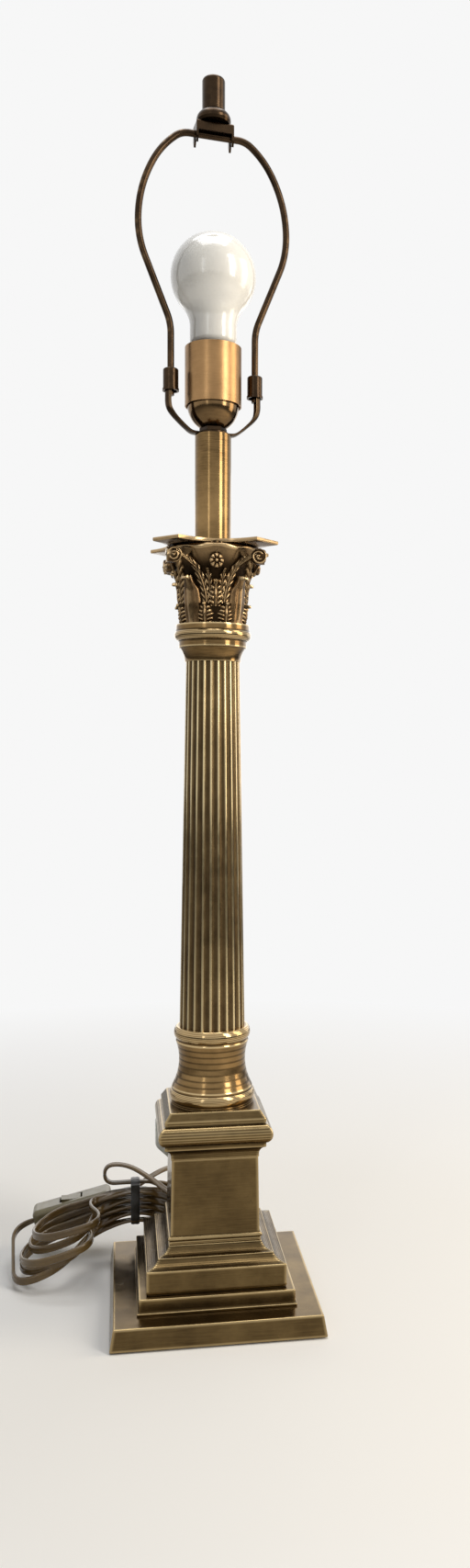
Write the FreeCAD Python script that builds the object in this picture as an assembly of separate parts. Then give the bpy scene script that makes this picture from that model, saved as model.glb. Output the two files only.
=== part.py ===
"""Column table lamp: stepped square base, fluted column, leaf capital, harp and screw-in bulb.

Every length is in millimetres. The origin is the middle of the felt under the base, +Z is up,
-Y is the front and the lead leaves the base at the back, +Y. Half widths are measured from the
lamp's axis to the flat of a square piece, radii from the same axis to a round one.
"""
import FreeCAD, Part
import math
import os

V = FreeCAD.Vector
ORIGIN = V(0, 0, 0)
UP = V(0, 0, 1)
ACROSS = V(1, 0, 0)
BACK = V(0, 1, 0)

# ---- clearances ------------------------------------------------------------------------
RUNNING_GAP = 0.3        # between faces of pieces that move past each other
SEAT_GAP = 0.2           # between a piece and the recess that it drops into
THREAD_GAP = 0.05        # between a thread and its nut, drawn as plain cylinders

# ---- square base, from the felt upwards ------------------------------------------------
FELT_THICK = 2.0
FELT_PROUD = 1.0         # how far the felt stands below the plate's rim
PLATE_FOOT_HALF = 73.2
PLATE_LEAN = 2.5         # how far the plate's sides lean in from foot to head
PLATE_HEAD_HALF = PLATE_FOOT_HALF - PLATE_LEAN
PLATE_TOP = 15.5
PLATE_WALL = 3.0
PLATE_ROOF = 2.5
STEP_HALF = 53.6
STEP_BEAD_PROUD = 1.2    # how far the bead at the foot stands out from the step's sides
STEP_BEAD_HALF = STEP_HALF + STEP_BEAD_PROUD
STEP_BEAD = 1.8
STEP_TOP = 26.4
STEP_ROOF = 3.0
PLINTH_HALF = 48.3
PLINTH_REBATE_IN = 1.1   # how far the rebate at the foot stands in from the block's sides
PLINTH_REBATE = 0.9
PLINTH_EDGE_Z = 42.3
PLINTH_FILLET_IN = 8.1   # of the fillet above the lower hollow, from the block's sides
PLINTH_FILLET_Z = 46.9
PLINTH_LEDGE_Z = 47.9
PLINTH_NECK_IN = 15.9    # of the head, from the block's sides
PLINTH_TOP = 53.4
DIE_HIGH_HALF = 30.3     # at the die's head; the die's and its cap's other widths follow it
DIE_LOW_HALF = DIE_HIGH_HALF + 0.9
DIE_FOOT_HALF = DIE_LOW_HALF + 0.8
DIE_BEAD_HALF = DIE_LOW_HALF + 1.8
DIE_BEAD_Z = 57.6
DIE_BEAD_RADIUS = 1.7
DIE_TOP = 112.4
CAP_SPREAD_HALF = DIE_HIGH_HALF + 5.1
CAP_SPREAD_Z = 120.6
CAP_LIP_Z = 123.4
CAP_ROLL_HALF = DIE_HIGH_HALF + 9.5
CAP_ROLL_Z = 130.6
CAP_ROLL_TOP_HALF = DIE_HIGH_HALF + 6.5
CAP_ROLL_TOP_Z = 136.2
CAP_GROOVE_HALF = DIE_HIGH_HALF + 4.5
CAP_GROOVE_Z = 138.0
CAP_BEVEL_Z = 140.3
CAP_HEAD_HALF = DIE_HIGH_HALF + 1.2
CAP_TOP = 145.9
CASTING_WALL = 3.2
ARRIS = 0.7              # rounding of the plain square edges

# ---- round column base -----------------------------------------------------------------
FOOT_NECK_RADIUS = 29.4
FOOT_ROLL_LOW = 147.4
FOOT_ROLL_RADIUS = 30.7
FOOT_ROLL_HIGH = 154.6
FOOT_BEAD_RADIUS = 28.9
FOOT_BEAD_Z = 156.6
WAIST_RADIUS = 23.8
WAIST_Z = 178.4
HEAD_LIP_RADIUS = 26.1
HEAD_LIP_Z = 189.4
HEAD_GROOVE_RADIUS = 25.4
HEAD_GROOVE_Z = 190.8
HEAD_ROLL_RADIUS = 27.4
HEAD_ROLL_Z = 195.6
FOOT_TOP = 199.8
FOOT_BORE_RADIUS = 17.0
SEAT_DEPTH = 3.0

# ---- fluted column ---------------------------------------------------------------------
COLUMN_FOOT_RADIUS = 23.35
COLUMN_HEAD_RADIUS = 18.9
COLUMN_TOP = 460.6       # height at which the collar covers it
COLUMN_WALL = 2.4
FLUTES = 24
FLUTE_SHARE = 0.8        # share of the pitch that the hollow takes, the rest is the fillet
FLUTE_DEPTH_SHARE = 0.05 # depth of a hollow as a share of the column's radius

# ---- collar and capital ----------------------------------------------------------------
COLLAR_FOOT_RADIUS = 19.9
COLLAR_FLARE_RADIUS = 23.4
COLLAR_FLARE_Z = 470.3
COLLAR_FILLET_RADIUS = 24.1
COLLAR_FILLET_Z = 475.0
COLLAR_ROLL_RADIUS = 27.3
COLLAR_ROLL_Z = 478.4
COLLAR_ROLL_TOP = 481.9
COLLAR_NECK_RADIUS = 26.1
COLLAR_TOP = 486.4
COLLAR_BORE_RADIUS = 15.5
BELL_FOOT_RADIUS = 22.4
BELL_CURVE_Z = 508.0
BELL_CURVE_RADIUS = 22.8
BELL_LIP_RADIUS = 33.0
BELL_SWELL = 3.0         # how far the flare's middle stands off the bell's line
BELL_LIP_Z = 536.5
BELL_TOP = 540.4
BELL_WALL = 3.0
ABACUS_TOP = 543.0
ABACUS_HORN_HALF = 43.3
ABACUS_HORN_CUT = 16.7
ABACUS_HOLLOW_HALF = 31.5
LEAF_ROOT = 0.9          # how deep a leaf's back lies in the bell
LEAF_LIFT = 0.4          # of a leaf's foot above the collar
LEAF_LOBES = 4
LOW_LEAF_THICK = 2.9
HIGH_LEAF_THICK = 2.4
CORNER_LEAF_THICK = 2.7
LOW_LEAF_TOP = 499.5
LOW_LEAF_WIDTH = 10.0
LOW_LEAF_ANGLE = 18.0    # each side of a face's middle
HIGH_LEAF_TOP = 515.5
HIGH_LEAF_WIDTH = 11.0
CORNER_LEAF_TOP = 518.5
CORNER_LEAF_WIDTH = 13.5
LEAF_CURL = 1.5
CORNER_LEAF_CURL = 1.9
VOLUTE_RADIUS = 5.2
VOLUTE_THICK = 4.2
VOLUTE_OUT = 33.6        # from the axis to a volute's face, square to a side
VOLUTE_ASIDE = 29.0
VOLUTE_Z = 531.2
VOLUTE_STALK = 15.0      # length of the stalk, measured along the side
VOLUTE_STALK_HIGH = 3.2
VOLUTE_EYE_PROUD = 0.7
FLOWER_RADIUS = 5.4
FLOWER_OUT = 33.4
FLOWER_Z = 528.6
PETALS = 8

# ---- neck, rod and lamp holder ---------------------------------------------------------
NECK_RADIUS = 12.85
NECK_WALL = 1.5
NECK_TOP = 620.3
ROD_RADIUS = 5.0
ROD_BORE_RADIUS = 3.85
ROD_FOOT = 8.0
ROD_TOP = 631.0
ROD_HOLE_GAP = 0.25
SADDLE_THICK = 2.0
LOCKNUT_FLATS = 16.8
LOCKNUT_THICK = 2.9
CUP_RADIUS = 18.2
CUP_CENTRE_Z = 641.2
CUP_WALL = 1.5
CUP_RIM_Z = 649.4
CUP_LEDGE_Z = 643.2
CUP_LEDGE = 0.6
SLEEVE_RADIUS = 20.0
SLEEVE_WALL = 0.8
SLEEVE_FOOT = 640.6
SLEEVE_TOP = 681.4
SLEEVE_RING_HIGH = 648.4
INSULATOR_THICK = 6.0
LINER_WALL = 1.4
LINER_TOP = 677.0
SHELL_CREST_RADIUS = 13.5
SHELL_WALL = 0.5
SHELL_TOP = 674.4

# ---- bulb, E27 cap and A60 glass -------------------------------------------------------
BULB_PITCH = 3.629
CAP_CREST_RADIUS = 13.1
CAP_ROOT_RADIUS = 12.2
CAP_LOW = 655.6
CAP_HIGH = 676.6
CAP_WALL = 0.5
TIP_RADIUS = 4.6
TIP_LOW = 651.5
GLOBE_RADIUS = 30.2
GLOBE_Z = 731.0
GLASS_NECK_RADIUS = 16.6
GLASS_SHOULDER_RADIUS = 22.0
GLASS_FOOT_RADIUS = 11.6
GLASS_WALL = 0.8
FILAMENT_Z = 727.0
FILAMENT_RADIUS = 13.0
WIRE_RADIUS = 0.4

# ---- harp ------------------------------------------------------------------------------
HARP_TURN = 8.0          # the harp's plane is turned by this many degrees about the lamp's axis
HARP_WIRE_RADIUS = 2.4
HARP_LEG_HALF = 30.4
HARP_FOOT = 646.0
HARP_BEND_Z = 689.0
HARP_SPREAD_ANGLE = 22.3
HARP_BEND_RADIUS = 37.0
HARP_SLOPE = 40.0        # straight slope between the bend and the belly
HARP_BELLY_RADIUS = 66.0
HARP_FLANK_RADIUS = 87.0
HARP_FLANK_ANGLE = 30.0
HARP_SHOULDER_RADIUS = 58.0
HARP_SHOULDER_ANGLE = 52.0
HARP_CROWN_RADIUS = 16.0
ARM_RADIUS = 4.1
ARM_WALL = 1.3
ARM_BEND_Z = 634.0
ARM_UPRIGHT_Z = 642.0
ARM_TOP = 657.0
ARM_STRIP_HALF = 14.0
FERRULE_RADIUS = 5.4
FERRULE_SKIRT_RADIUS = 5.8
FERRULE_WALL = 0.9
FERRULE_LOW = 649.0
FERRULE_HEIGHT = 15.5
FERRULE_LIP = 2.4
BRACKET_HALF = 13.4
BRACKET_DEPTH = 12.0
BRACKET_SHEET = 1.5
BRACKET_HEIGHT = 8.2     # from the wire's middle to the bracket's top
BRACKET_CLAW = 7.4       # from the wire's middle to the tips of the claws
BRACKET_SKIRT = 1.0      # from the wire's middle up to the edge of the side walls
STUD_RADIUS = 3.0
STUD_HEAD_RADIUS = 3.8
STUD_HEAD = 1.8
STUD_ABOVE = 19.5        # above the bracket
WASHER_RADIUS = 12.1
WASHER_HEIGHT = 8.1
FINIAL_RADIUS = 8.05
FINIAL_HEIGHT = 23.4
FINIAL_DOME = 3.0
FINIAL_BORE = 14.0
INSERT_RADIUS = 5.0
INSERT_LONG = 9.0

# ---- base fastening --------------------------------------------------------------------
BASE_NUT_FLATS = 14.0
BASE_NUT_THICK = 3.8
BASE_WASHER_RADIUS = 14.0
BASE_WASHER_THICK = 1.2
WEIGHT_GAP = 3.5         # between the weight and the plate's walls
WEIGHT_HALF = PLATE_FOOT_HALF - PLATE_WALL - ARRIS - WEIGHT_GAP
WEIGHT_POCKET_RADIUS = 17.0
BUSH_ROOM_DEEP = 8.0     # of the recess in the weight for the lead's bush
SPACER_THICK = 4.0

# ---- lead ------------------------------------------------------------------------------
CORD_DIAMETER = 4.4      # a round of the same section as the flat 5.8 x 2.9 lead
CORD_RUN_Z = 5.0
CORD_EXIT_Z = 7.4
CORD_BEND_RADIUS = 7.0
BUSH_RADIUS = 4.0
BUSH_FLANGE_RADIUS = 5.4
BUSH_FLANGE = 1.6
BUSH_SLEEVE = 22.0
BUSH_TIP_RADIUS = 3.1

# ---- hank, switch and plug -------------------------------------------------------------
# The lead lies behind the base: from the bush to the switch, then the hank, then the plug.
WAIST_X = -54.0          # middle of the tie
WAIST_Y = 71.0
WAIST_RUN = 12.0         # straight runs through the tie
WAIST_SPACE = 6.6        # between the outward and the inward runs in the tie
WAIST_LOW = 33.0         # height of the lowest turn in the tie
TURN_PITCH = 5.5
TURNS = 5
LEFT_TILTS = [19.0, 19.4, 19.0, 18.6, 18.0]    # degrees down from level, one for each turn
LEFT_REACHES = [52.0, 44.0, 46.0, 36.0]        # from the tilt to the end bend, second turn on
LEFT_RADII = [13.2, 25.0, 31.0, 24.0, 29.0]
LEFT_BACK = 5.0          # how far the rear runs of the left loops stand behind the waist's middle
OUTER_LOOP_SPAN = 44.0   # straight part at the left end of the turn that comes from the switch
RIGHT_TILT = 15.0
RIGHT_REACHES = [32.0, 33.0, 34.5, 36.0, 37.5]
RIGHT_RADII = [13.4, 14.0, 14.6, 14.2, 15.2]
RIGHT_BACK = 1.4         # of the right loops' middle behind the waist's middle
TILT_RADIUS = 20.0
TIE_WIDE = 7.0
TIE_THICK = 1.6
TAIL_FOLD_RADIUS = 7.0
TAIL_FOLD_DEGREES = 188.0
LEAD_STRAIGHT = 19.0     # straight run of the lead beyond its bush
LEAD_ROUTE = [V(4, 126, 24), V(-2, 126, 46), V(-18, 115, 58), V(-37, 102, 57)]
LEAD_END = 14.0          # straight run of the lead before the switch
TAIL_STRAIGHT = 13.0     # after the fold
TAIL_ROUTE = [V(-41, 69, 63.5), V(-31, 61.5, 57.5), V(-25.6, 50.2, 57.2)]
TAIL_END = 12.2          # before the plug
SWITCH_RIGHT = V(-72.0, 92.0, 42.4)    # middle of the end that faces the lamp
SWITCH_LONG = 61.5
SWITCH_WIDE = 22.0
SWITCH_HIGH = 18.0
SWITCH_SLOPE = 13.35
SWITCH_WALL = 1.8
SWITCH_ROUND = 4.0
ROCKER_REACH = 8.6       # radius that the rocker stays within about its pivot
ROCKER_HALF = 4.6        # half of its width
ROCKER_PIVOT = 6.4       # above the seam
ROCKER_PIN_RADIUS = 1.2
ROCKER_GAP = 0.4
ROCKER_RAISED = 4.6      # heights of its two ends and its middle above the pivot
ROCKER_PRESSED = 2.4
ROCKER_MIDDLE = 3.0
ROCKER_FOOT = 2.6        # of its lower side under the pivot
ROCKER_LEFT = 7.2        # lengths of its two ends from the pivot
ROCKER_RIGHT = 7.6
CHEEK_WIDE = 6.0
CHEEK_THICK = 2.0
CHEEK_LOW = 3.0          # above the seam
SWITCH_SEAM = 0.1        # gap between the two halves of the case
SWITCH_SCREW_SUNK = 2.2  # depth of the recess for a screw's head
CONTACT_LONG = 10.0
CONTACT_WIDE = 4.0
CONTACT_HIGH = 3.0
CONTACT_BLADE = 0.8
SWITCH_SCREW_ASIDE = 20.0
SWITCH_SCREW_RADIUS = 1.4
SWITCH_SCREW_HEAD = 2.6
PLUG_X = -22.0
PLUG_Y = 42.4
PLUG_FOOT = 78.0         # end of the plug's sleeve
PLUG_SLEEVE = 9.0
PLUG_WIDE = 35.0
PLUG_DEEP = 13.7
PLUG_HIGH = 33.0
PLUG_FOOT_WIDE = 16.0
PLUG_SHOULDER = 12.0     # height of the sloping shoulders
PLUG_ROUND = 3.0
PIN_RADIUS = 2.0
PIN_LONG = 19.0
PIN_SPACE = 19.0


# ---- helpers ---------------------------------------------------------------------------
def save(name, *solids):
    """Write one node, made of one solid or of several that stay separate."""
    shape = solids[0] if len(solids) == 1 else Part.makeCompound(list(solids))
    shape.exportStep("parts/%s.step" % name)
    print("%-18s %2d solid(s) %9.1f mm3" % (name, len(shape.Solids), shape.Volume),
          "valid" if shape.isValid() else "NOT VALID")
    return shape


def side_wire(points, plane="xz"):
    """Closed wire in the XZ plane through (across, height) points; a triple is the middle of an arc."""
    edges = []
    last = points[0]
    middle = None
    for point in list(points[1:]) + [points[0]]:
        if len(point) == 3:
            middle = V(point[0], 0, point[1])
            continue
        start, end = V(last[0], 0, last[1]), V(point[0], 0, point[1])
        edges.append(Part.Arc(start, middle, end).toShape() if middle else Part.makeLine(start, end))
        last, middle = point, None
    return Part.Wire(edges)


def turned_solid(points):
    """Round solid: the profile, whose points are radius and height, turned about the axis."""
    return Part.Face(side_wire(points)).revolve(ORIGIN, UP, 360)


def square_solid(points):
    """Square solid with mitred corners: the same profile run along both pairs of sides."""
    reach = 2 * max(point[0] for point in points)
    mirrored = [(-point[0],) + tuple(point[1:]) for point in reversed(points)]
    outline = Part.Face(side_wire(list(points) + mirrored))
    outline.translate(V(0, -reach, 0))
    along = outline.extrude(V(0, 2 * reach, 0))
    return along.common(along.rotated(ORIGIN, UP, 90))


def cylinder(radius, low, high, x=0.0, y=0.0):
    return Part.makeCylinder(radius, high - low, V(x, y, low))


def tube(radius, bore, low, high, x=0.0, y=0.0):
    return cylinder(radius, low, high, x, y).cut(cylinder(bore, low - 1, high + 1, x, y))


def square_block(half, low, high):
    return Part.makeBox(2 * half, 2 * half, high - low, V(-half, -half, low))


def hexagon(flats, low, high, bore):
    """Hexagonal nut about the axis."""
    corner = flats / math.sqrt(3)
    points = [V(corner * math.cos(math.radians(60 * i)), corner * math.sin(math.radians(60 * i)), low)
              for i in range(7)]
    nut = Part.Face(Part.makePolygon(points)).extrude(V(0, 0, high - low))
    return nut.cut(cylinder(bore, low - 1, high + 1))


def around(shape, count, first=0.0):
    """Copies of a shape, evenly spaced about the axis."""
    return [shape.rotated(ORIGIN, UP, first + 360.0 * i / count) for i in range(count)]


def harp_turned(shape):
    return shape.rotated(ORIGIN, UP, HARP_TURN)


def rod_hole(low, high):
    return cylinder(ROD_RADIUS + ROD_HOLE_GAP, low - 1, high + 1)


def swept(edges, radius):
    """Round bar along a chain of tangent edges."""
    path = Part.Wire(edges)
    start = edges[0].Vertexes[0].Point
    heading = edges[0].tangentAt(edges[0].FirstParameter)
    ring = Part.Wire([Part.Circle(start, heading, radius).toShape()])
    return path.makePipeShell([ring], True, False)


def wound_tube(edges, radius):
    """Round bar along a long winding path of runs and tangent arcs."""
    wire = Part.Wire(edges)
    start = edges[0].Vertexes[0].Point
    ring = Part.Wire(Part.Circle(start, edges[0].tangentAt(edges[0].FirstParameter), radius).toShape())
    shell = Part.BRepOffsetAPI.MakePipeShell(wire)
    shell.add(ring)
    shell.build()
    shell.makeSolid()
    solid = shell.shape()
    expected = math.pi * radius ** 2 * sum(edge.Length for edge in edges)
    print("tube volume", round(solid.Volume, 1), "expected", round(expected, 1))
    return solid


def rounded_route(points, radii):
    """Straight runs through the points, joined by tangent arcs of the given radii."""
    edges = []
    last = points[0]
    for before, corner, after, radius in zip(points, points[1:], points[2:], radii):
        come, go = (before - corner).normalize(), (after - corner).normalize()
        half = (math.pi - come.getAngle(go)) / 2
        back = radius * math.tan(half)
        start, end = corner + come * back, corner + go * back
        inward = (come + go).normalize()
        middle = corner + inward * (radius / math.cos(half) - radius)
        edges.append(Part.LineSegment(last, start).toShape())
        edges.append(Part.Arc(start, middle, end).toShape())
        last = end
    edges.append(Part.LineSegment(last, points[-1]).toShape())
    return edges


class Trail:
    """Path made of straight runs and tangent arcs, walked from a start point along a heading."""

    def __init__(self, start, heading):
        self.point = V(start)
        self.heading = V(heading).normalize()
        self.edges = []
        self.radii = []

    def run(self, length):
        end = self.point + self.heading * length
        self.edges.append(Part.LineSegment(self.point, end).toShape())
        self.point = end

    def turn(self, radius, degrees, axis):
        side = 1 if degrees > 0 else -1
        centre = self.point + axis.cross(self.heading).normalize() * (radius * side)
        spoke = self.point - centre
        middle = centre + FreeCAD.Rotation(axis, degrees / 2.0).multVec(spoke)
        end = centre + FreeCAD.Rotation(axis, degrees).multVec(spoke)
        self.edges.append(Part.Arc(self.point, middle, end).toShape())
        self.radii.append(radius)
        self.heading = FreeCAD.Rotation(axis, degrees).multVec(self.heading)
        self.point = end

    def shift(self, target):
        """Two equal arcs to a point where the path runs on in the same direction."""
        step = target - self.point
        ahead = step.dot(self.heading)
        aside = step - self.heading * ahead
        if aside.Length < 1e-6:
            self.run(ahead)
            return
        angle = 2 * math.atan2(aside.Length, ahead)
        radius = ahead / (2 * math.sin(angle))
        axis = self.heading.cross(aside).normalize()
        self.turn(radius, math.degrees(angle), axis)
        self.turn(radius, -math.degrees(angle), axis)


# ---- square base -----------------------------------------------------------------------
def base_plate():
    plate = square_solid([(PLATE_FOOT_HALF, FELT_PROUD), (PLATE_HEAD_HALF, PLATE_TOP)])
    upper = [edge for edge in plate.Edges if edge.BoundBox.ZMax > FELT_PROUD + 1]
    plate = plate.makeFillet(ARRIS, upper)
    plate = plate.cut(square_block(PLATE_FOOT_HALF - PLATE_WALL - ARRIS, 0, PLATE_TOP - PLATE_ROOF))
    plate = plate.cut(rod_hole(0, PLATE_TOP))
    exit_hole = Part.makeCylinder(BUSH_RADIUS + SEAT_GAP, 3 * PLATE_WALL + 4,
                                  V(0, PLATE_HEAD_HALF - 2 * PLATE_WALL, CORD_EXIT_Z), BACK)
    flat_pad = Part.makeCylinder(BUSH_FLANGE_RADIUS + SEAT_GAP, 3 * PLATE_WALL,
                                 V(0, PLATE_HEAD_HALF, CORD_EXIT_Z), BACK)
    return plate.cut(exit_hole).cut(flat_pad)


def felt_pad():
    return square_block(WEIGHT_HALF + 0.5, 0, FELT_THICK)


def base_weight():
    roof = PLATE_TOP - PLATE_ROOF
    block = square_block(WEIGHT_HALF, FELT_THICK, roof)
    block = block.cut(cylinder(WEIGHT_POCKET_RADIUS, 0, roof + 1))
    channel = Part.makeBox(2 * CORD_DIAMETER, WEIGHT_HALF + 1, roof, V(-CORD_DIAMETER, 0, FELT_THICK - 1))
    bush_room = Part.makeBox(5 * CORD_DIAMETER, 4 * PLATE_WALL, roof,
                             V(-2.5 * CORD_DIAMETER, WEIGHT_HALF - BUSH_ROOM_DEEP, FELT_THICK - 1))
    return block.cut(channel).cut(bush_room)


def lower_step():
    step = square_solid([(STEP_BEAD_HALF, PLATE_TOP), (STEP_BEAD_HALF, PLATE_TOP + STEP_BEAD - ARRIS),
                         (STEP_BEAD_HALF - 0.3, PLATE_TOP + STEP_BEAD - 0.3, "arc"),
                         (STEP_HALF, PLATE_TOP + STEP_BEAD),
                         (STEP_HALF, STEP_TOP - ARRIS), (STEP_HALF - 0.2, STEP_TOP - 0.2, "arc"),
                         (STEP_HALF - ARRIS, STEP_TOP)])
    step = step.cut(square_block(STEP_HALF - CASTING_WALL, PLATE_TOP - 1, STEP_TOP - STEP_ROOF))
    return step.cut(rod_hole(PLATE_TOP, STEP_TOP))


def plinth_block():
    """Block with a rebate at its foot and two hollow mouldings that lead up to the die."""
    block_low = STEP_TOP + PLINTH_REBATE
    rebate_half, fillet_half = PLINTH_HALF - PLINTH_REBATE_IN, PLINTH_HALF - PLINTH_FILLET_IN
    neck_half = PLINTH_HALF - PLINTH_NECK_IN
    block = square_solid([(rebate_half, STEP_TOP), (rebate_half, block_low),
                          (PLINTH_HALF - ARRIS, block_low),
                          (PLINTH_HALF - 0.2, block_low + 0.2, "arc"),
                          (PLINTH_HALF, block_low + ARRIS), (PLINTH_HALF, PLINTH_EDGE_Z - ARRIS),
                          (PLINTH_HALF - 0.2, PLINTH_EDGE_Z - 0.2, "arc"),
                          (PLINTH_HALF - ARRIS, PLINTH_EDGE_Z),
                          ((PLINTH_HALF + fillet_half) / 2 - 1.0,
                           (PLINTH_EDGE_Z + PLINTH_FILLET_Z) / 2 - 0.8, "arc"),
                          (fillet_half, PLINTH_FILLET_Z),
                          (fillet_half, PLINTH_LEDGE_Z), (fillet_half - 1, PLINTH_LEDGE_Z),
                          ((fillet_half + neck_half) / 2 - 1.6,
                           (PLINTH_LEDGE_Z + PLINTH_TOP) / 2 - 1.0, "arc"),
                          (neck_half, PLINTH_TOP)])
    inner = square_block(neck_half - CASTING_WALL, STEP_TOP - 1, PLINTH_TOP - CASTING_WALL)
    wide = square_block(rebate_half - CASTING_WALL, STEP_TOP - 1, PLINTH_EDGE_Z - CASTING_WALL)
    return block.cut(inner).cut(wide).cut(rod_hole(STEP_TOP, PLINTH_TOP))


def pedestal_die():
    bead_low, bead_high = DIE_BEAD_Z - DIE_BEAD_RADIUS, DIE_BEAD_Z + DIE_BEAD_RADIUS
    bead_root = DIE_BEAD_HALF - DIE_BEAD_RADIUS
    die = square_solid([(DIE_FOOT_HALF, PLINTH_TOP), (DIE_FOOT_HALF, bead_low - 0.3),
                        (bead_root, bead_low), (DIE_BEAD_HALF, DIE_BEAD_Z, "arc"), (bead_root, bead_high),
                        (DIE_LOW_HALF, bead_high + 1.2), (DIE_HIGH_HALF, DIE_TOP)])
    return die.cut(square_block(DIE_HIGH_HALF - CASTING_WALL, PLINTH_TOP - 1, DIE_TOP + 1))


def pedestal_cap():
    cap = square_solid([(DIE_HIGH_HALF + 0.5, DIE_TOP), (DIE_HIGH_HALF + 0.5, DIE_TOP + 0.8),
                        ((DIE_HIGH_HALF + CAP_SPREAD_HALF) / 2 - 0.8,
                         (DIE_TOP + CAP_SPREAD_Z) / 2 + 1.6, "arc"),
                        (CAP_SPREAD_HALF, CAP_SPREAD_Z), (CAP_SPREAD_HALF, CAP_LIP_Z),
                        (CAP_ROLL_HALF, CAP_ROLL_Z, "arc"), (CAP_ROLL_TOP_HALF, CAP_ROLL_TOP_Z),
                        (CAP_GROOVE_HALF, CAP_GROOVE_Z - 0.9), (CAP_GROOVE_HALF, CAP_GROOVE_Z),
                        (CAP_SPREAD_HALF, CAP_GROOVE_Z), (CAP_SPREAD_HALF, CAP_BEVEL_Z),
                        (CAP_HEAD_HALF, CAP_TOP)])
    inner = square_block(DIE_HIGH_HALF - CASTING_WALL, DIE_TOP - 1, CAP_TOP - CASTING_WALL)
    return cap.cut(inner).cut(rod_hole(DIE_TOP, CAP_TOP))


# ---- round pieces ----------------------------------------------------------------------
def column_base():
    """Turned foot of the column: a roll, a bead, a long hollow, a groove and an upper roll."""
    column_radius = COLUMN_FOOT_RADIUS + SEAT_GAP
    seat = FOOT_TOP - SEAT_DEPTH
    foot = turned_solid([(0, CAP_TOP), (FOOT_NECK_RADIUS, CAP_TOP), (FOOT_NECK_RADIUS, FOOT_ROLL_LOW),
                         (FOOT_ROLL_RADIUS, (FOOT_ROLL_LOW + FOOT_ROLL_HIGH) / 2, "arc"),
                         (FOOT_NECK_RADIUS, FOOT_ROLL_HIGH), (FOOT_BEAD_RADIUS, FOOT_ROLL_HIGH + 0.3),
                         (FOOT_BEAD_RADIUS, FOOT_BEAD_Z),
                         (WAIST_RADIUS, WAIST_Z, "arc"), (HEAD_LIP_RADIUS, HEAD_LIP_Z),
                         (HEAD_GROOVE_RADIUS, HEAD_GROOVE_Z),
                         (HEAD_ROLL_RADIUS, HEAD_ROLL_Z, "arc"), (HEAD_GROOVE_RADIUS, FOOT_TOP),
                         (column_radius, FOOT_TOP), (column_radius, seat), (0, seat)])
    foot = foot.cut(cylinder(FOOT_BORE_RADIUS, CAP_TOP + CASTING_WALL, FOOT_TOP + 1))
    return foot.cut(rod_hole(CAP_TOP, FOOT_TOP))


def column_radius_at(height):
    """Outer radius of the tapered column at a height."""
    rise = (height - FOOT_TOP) / (COLUMN_TOP - FOOT_TOP)
    return COLUMN_FOOT_RADIUS + (COLUMN_HEAD_RADIUS - COLUMN_FOOT_RADIUS) * rise


def fluted_column():
    """Tapered tube with hollow flutes, each cut by a cone laid along the column's side."""
    low, high = FOOT_TOP - SEAT_DEPTH, COLUMN_TOP + SEAT_DEPTH
    r_low, r_high = column_radius_at(low), column_radius_at(high)
    body = Part.makeCone(r_low, r_high, high - low, V(0, 0, low))
    body = body.cut(Part.makeCone(r_low - COLUMN_WALL, r_high - COLUMN_WALL, high - low, V(0, 0, low)))

    def cutter_ring(radius):
        """Radius of a flute's hollow and its middle's distance from the axis."""
        half_width = math.pi * radius / FLUTES * FLUTE_SHARE
        depth = FLUTE_DEPTH_SHARE * radius
        hollow = (half_width ** 2 + depth ** 2) / (2 * depth)
        return hollow, radius + hollow - depth

    hollow_low, out_low = cutter_ring(r_low)
    hollow_high, out_high = cutter_ring(r_high)
    foot, head = V(0, -out_low, low), V(0, -out_high, high)
    axis = head - foot
    cutter = Part.makeCone(hollow_low, hollow_high, axis.Length, foot, axis)
    return body.cut(Part.makeCompound(around(cutter, FLUTES)))


def capital_collar():
    """Turned ring between the column and the leaves: a flare, a fillet, a roll and a neck."""
    bore = column_radius_at(COLUMN_TOP) + SEAT_GAP
    return turned_solid([(COLLAR_BORE_RADIUS, COLUMN_TOP + SEAT_DEPTH), (bore, COLUMN_TOP + SEAT_DEPTH),
                         (bore, COLUMN_TOP - 0.3), (COLLAR_FOOT_RADIUS, COLUMN_TOP - 0.3),
                         (COLLAR_FOOT_RADIUS + 0.8, COLLAR_FLARE_Z - 5.2, "arc"),
                         (COLLAR_FLARE_RADIUS, COLLAR_FLARE_Z), (COLLAR_FILLET_RADIUS, COLLAR_FLARE_Z),
                         (COLLAR_FILLET_RADIUS, COLLAR_FILLET_Z),
                         (COLLAR_ROLL_RADIUS, COLLAR_ROLL_Z, "arc"), (COLLAR_NECK_RADIUS, COLLAR_ROLL_TOP),
                         (COLLAR_NECK_RADIUS, COLLAR_TOP), (COLLAR_BORE_RADIUS, COLLAR_TOP)])


def bell_profile(extra):
    """Outer line of the capital's bell, moved out by extra."""
    return [(BELL_FOOT_RADIUS + extra, COLLAR_TOP), (BELL_CURVE_RADIUS + extra, BELL_CURVE_Z),
            (BELL_CURVE_RADIUS + BELL_SWELL + extra, (BELL_CURVE_Z + BELL_LIP_Z) / 2 + BELL_SWELL, "arc"),
            (BELL_LIP_RADIUS + extra, BELL_LIP_Z)]


def bell_radius_at(height):
    """Radius of the bell at a height, on its straight foot or on the arc of its flare."""
    if height <= BELL_CURVE_Z:
        share = (height - COLLAR_TOP) / (BELL_CURVE_Z - COLLAR_TOP)
        return BELL_FOOT_RADIUS + (BELL_CURVE_RADIUS - BELL_FOOT_RADIUS) * share
    start, middle, end = [V(point[0], 0, point[1]) for point in bell_profile(0)[1:]]
    flare = Part.Arc(start, middle, end).toShape().Curve
    return flare.Center.x - math.sqrt(flare.Radius ** 2 - (height - flare.Center.z) ** 2)


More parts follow.
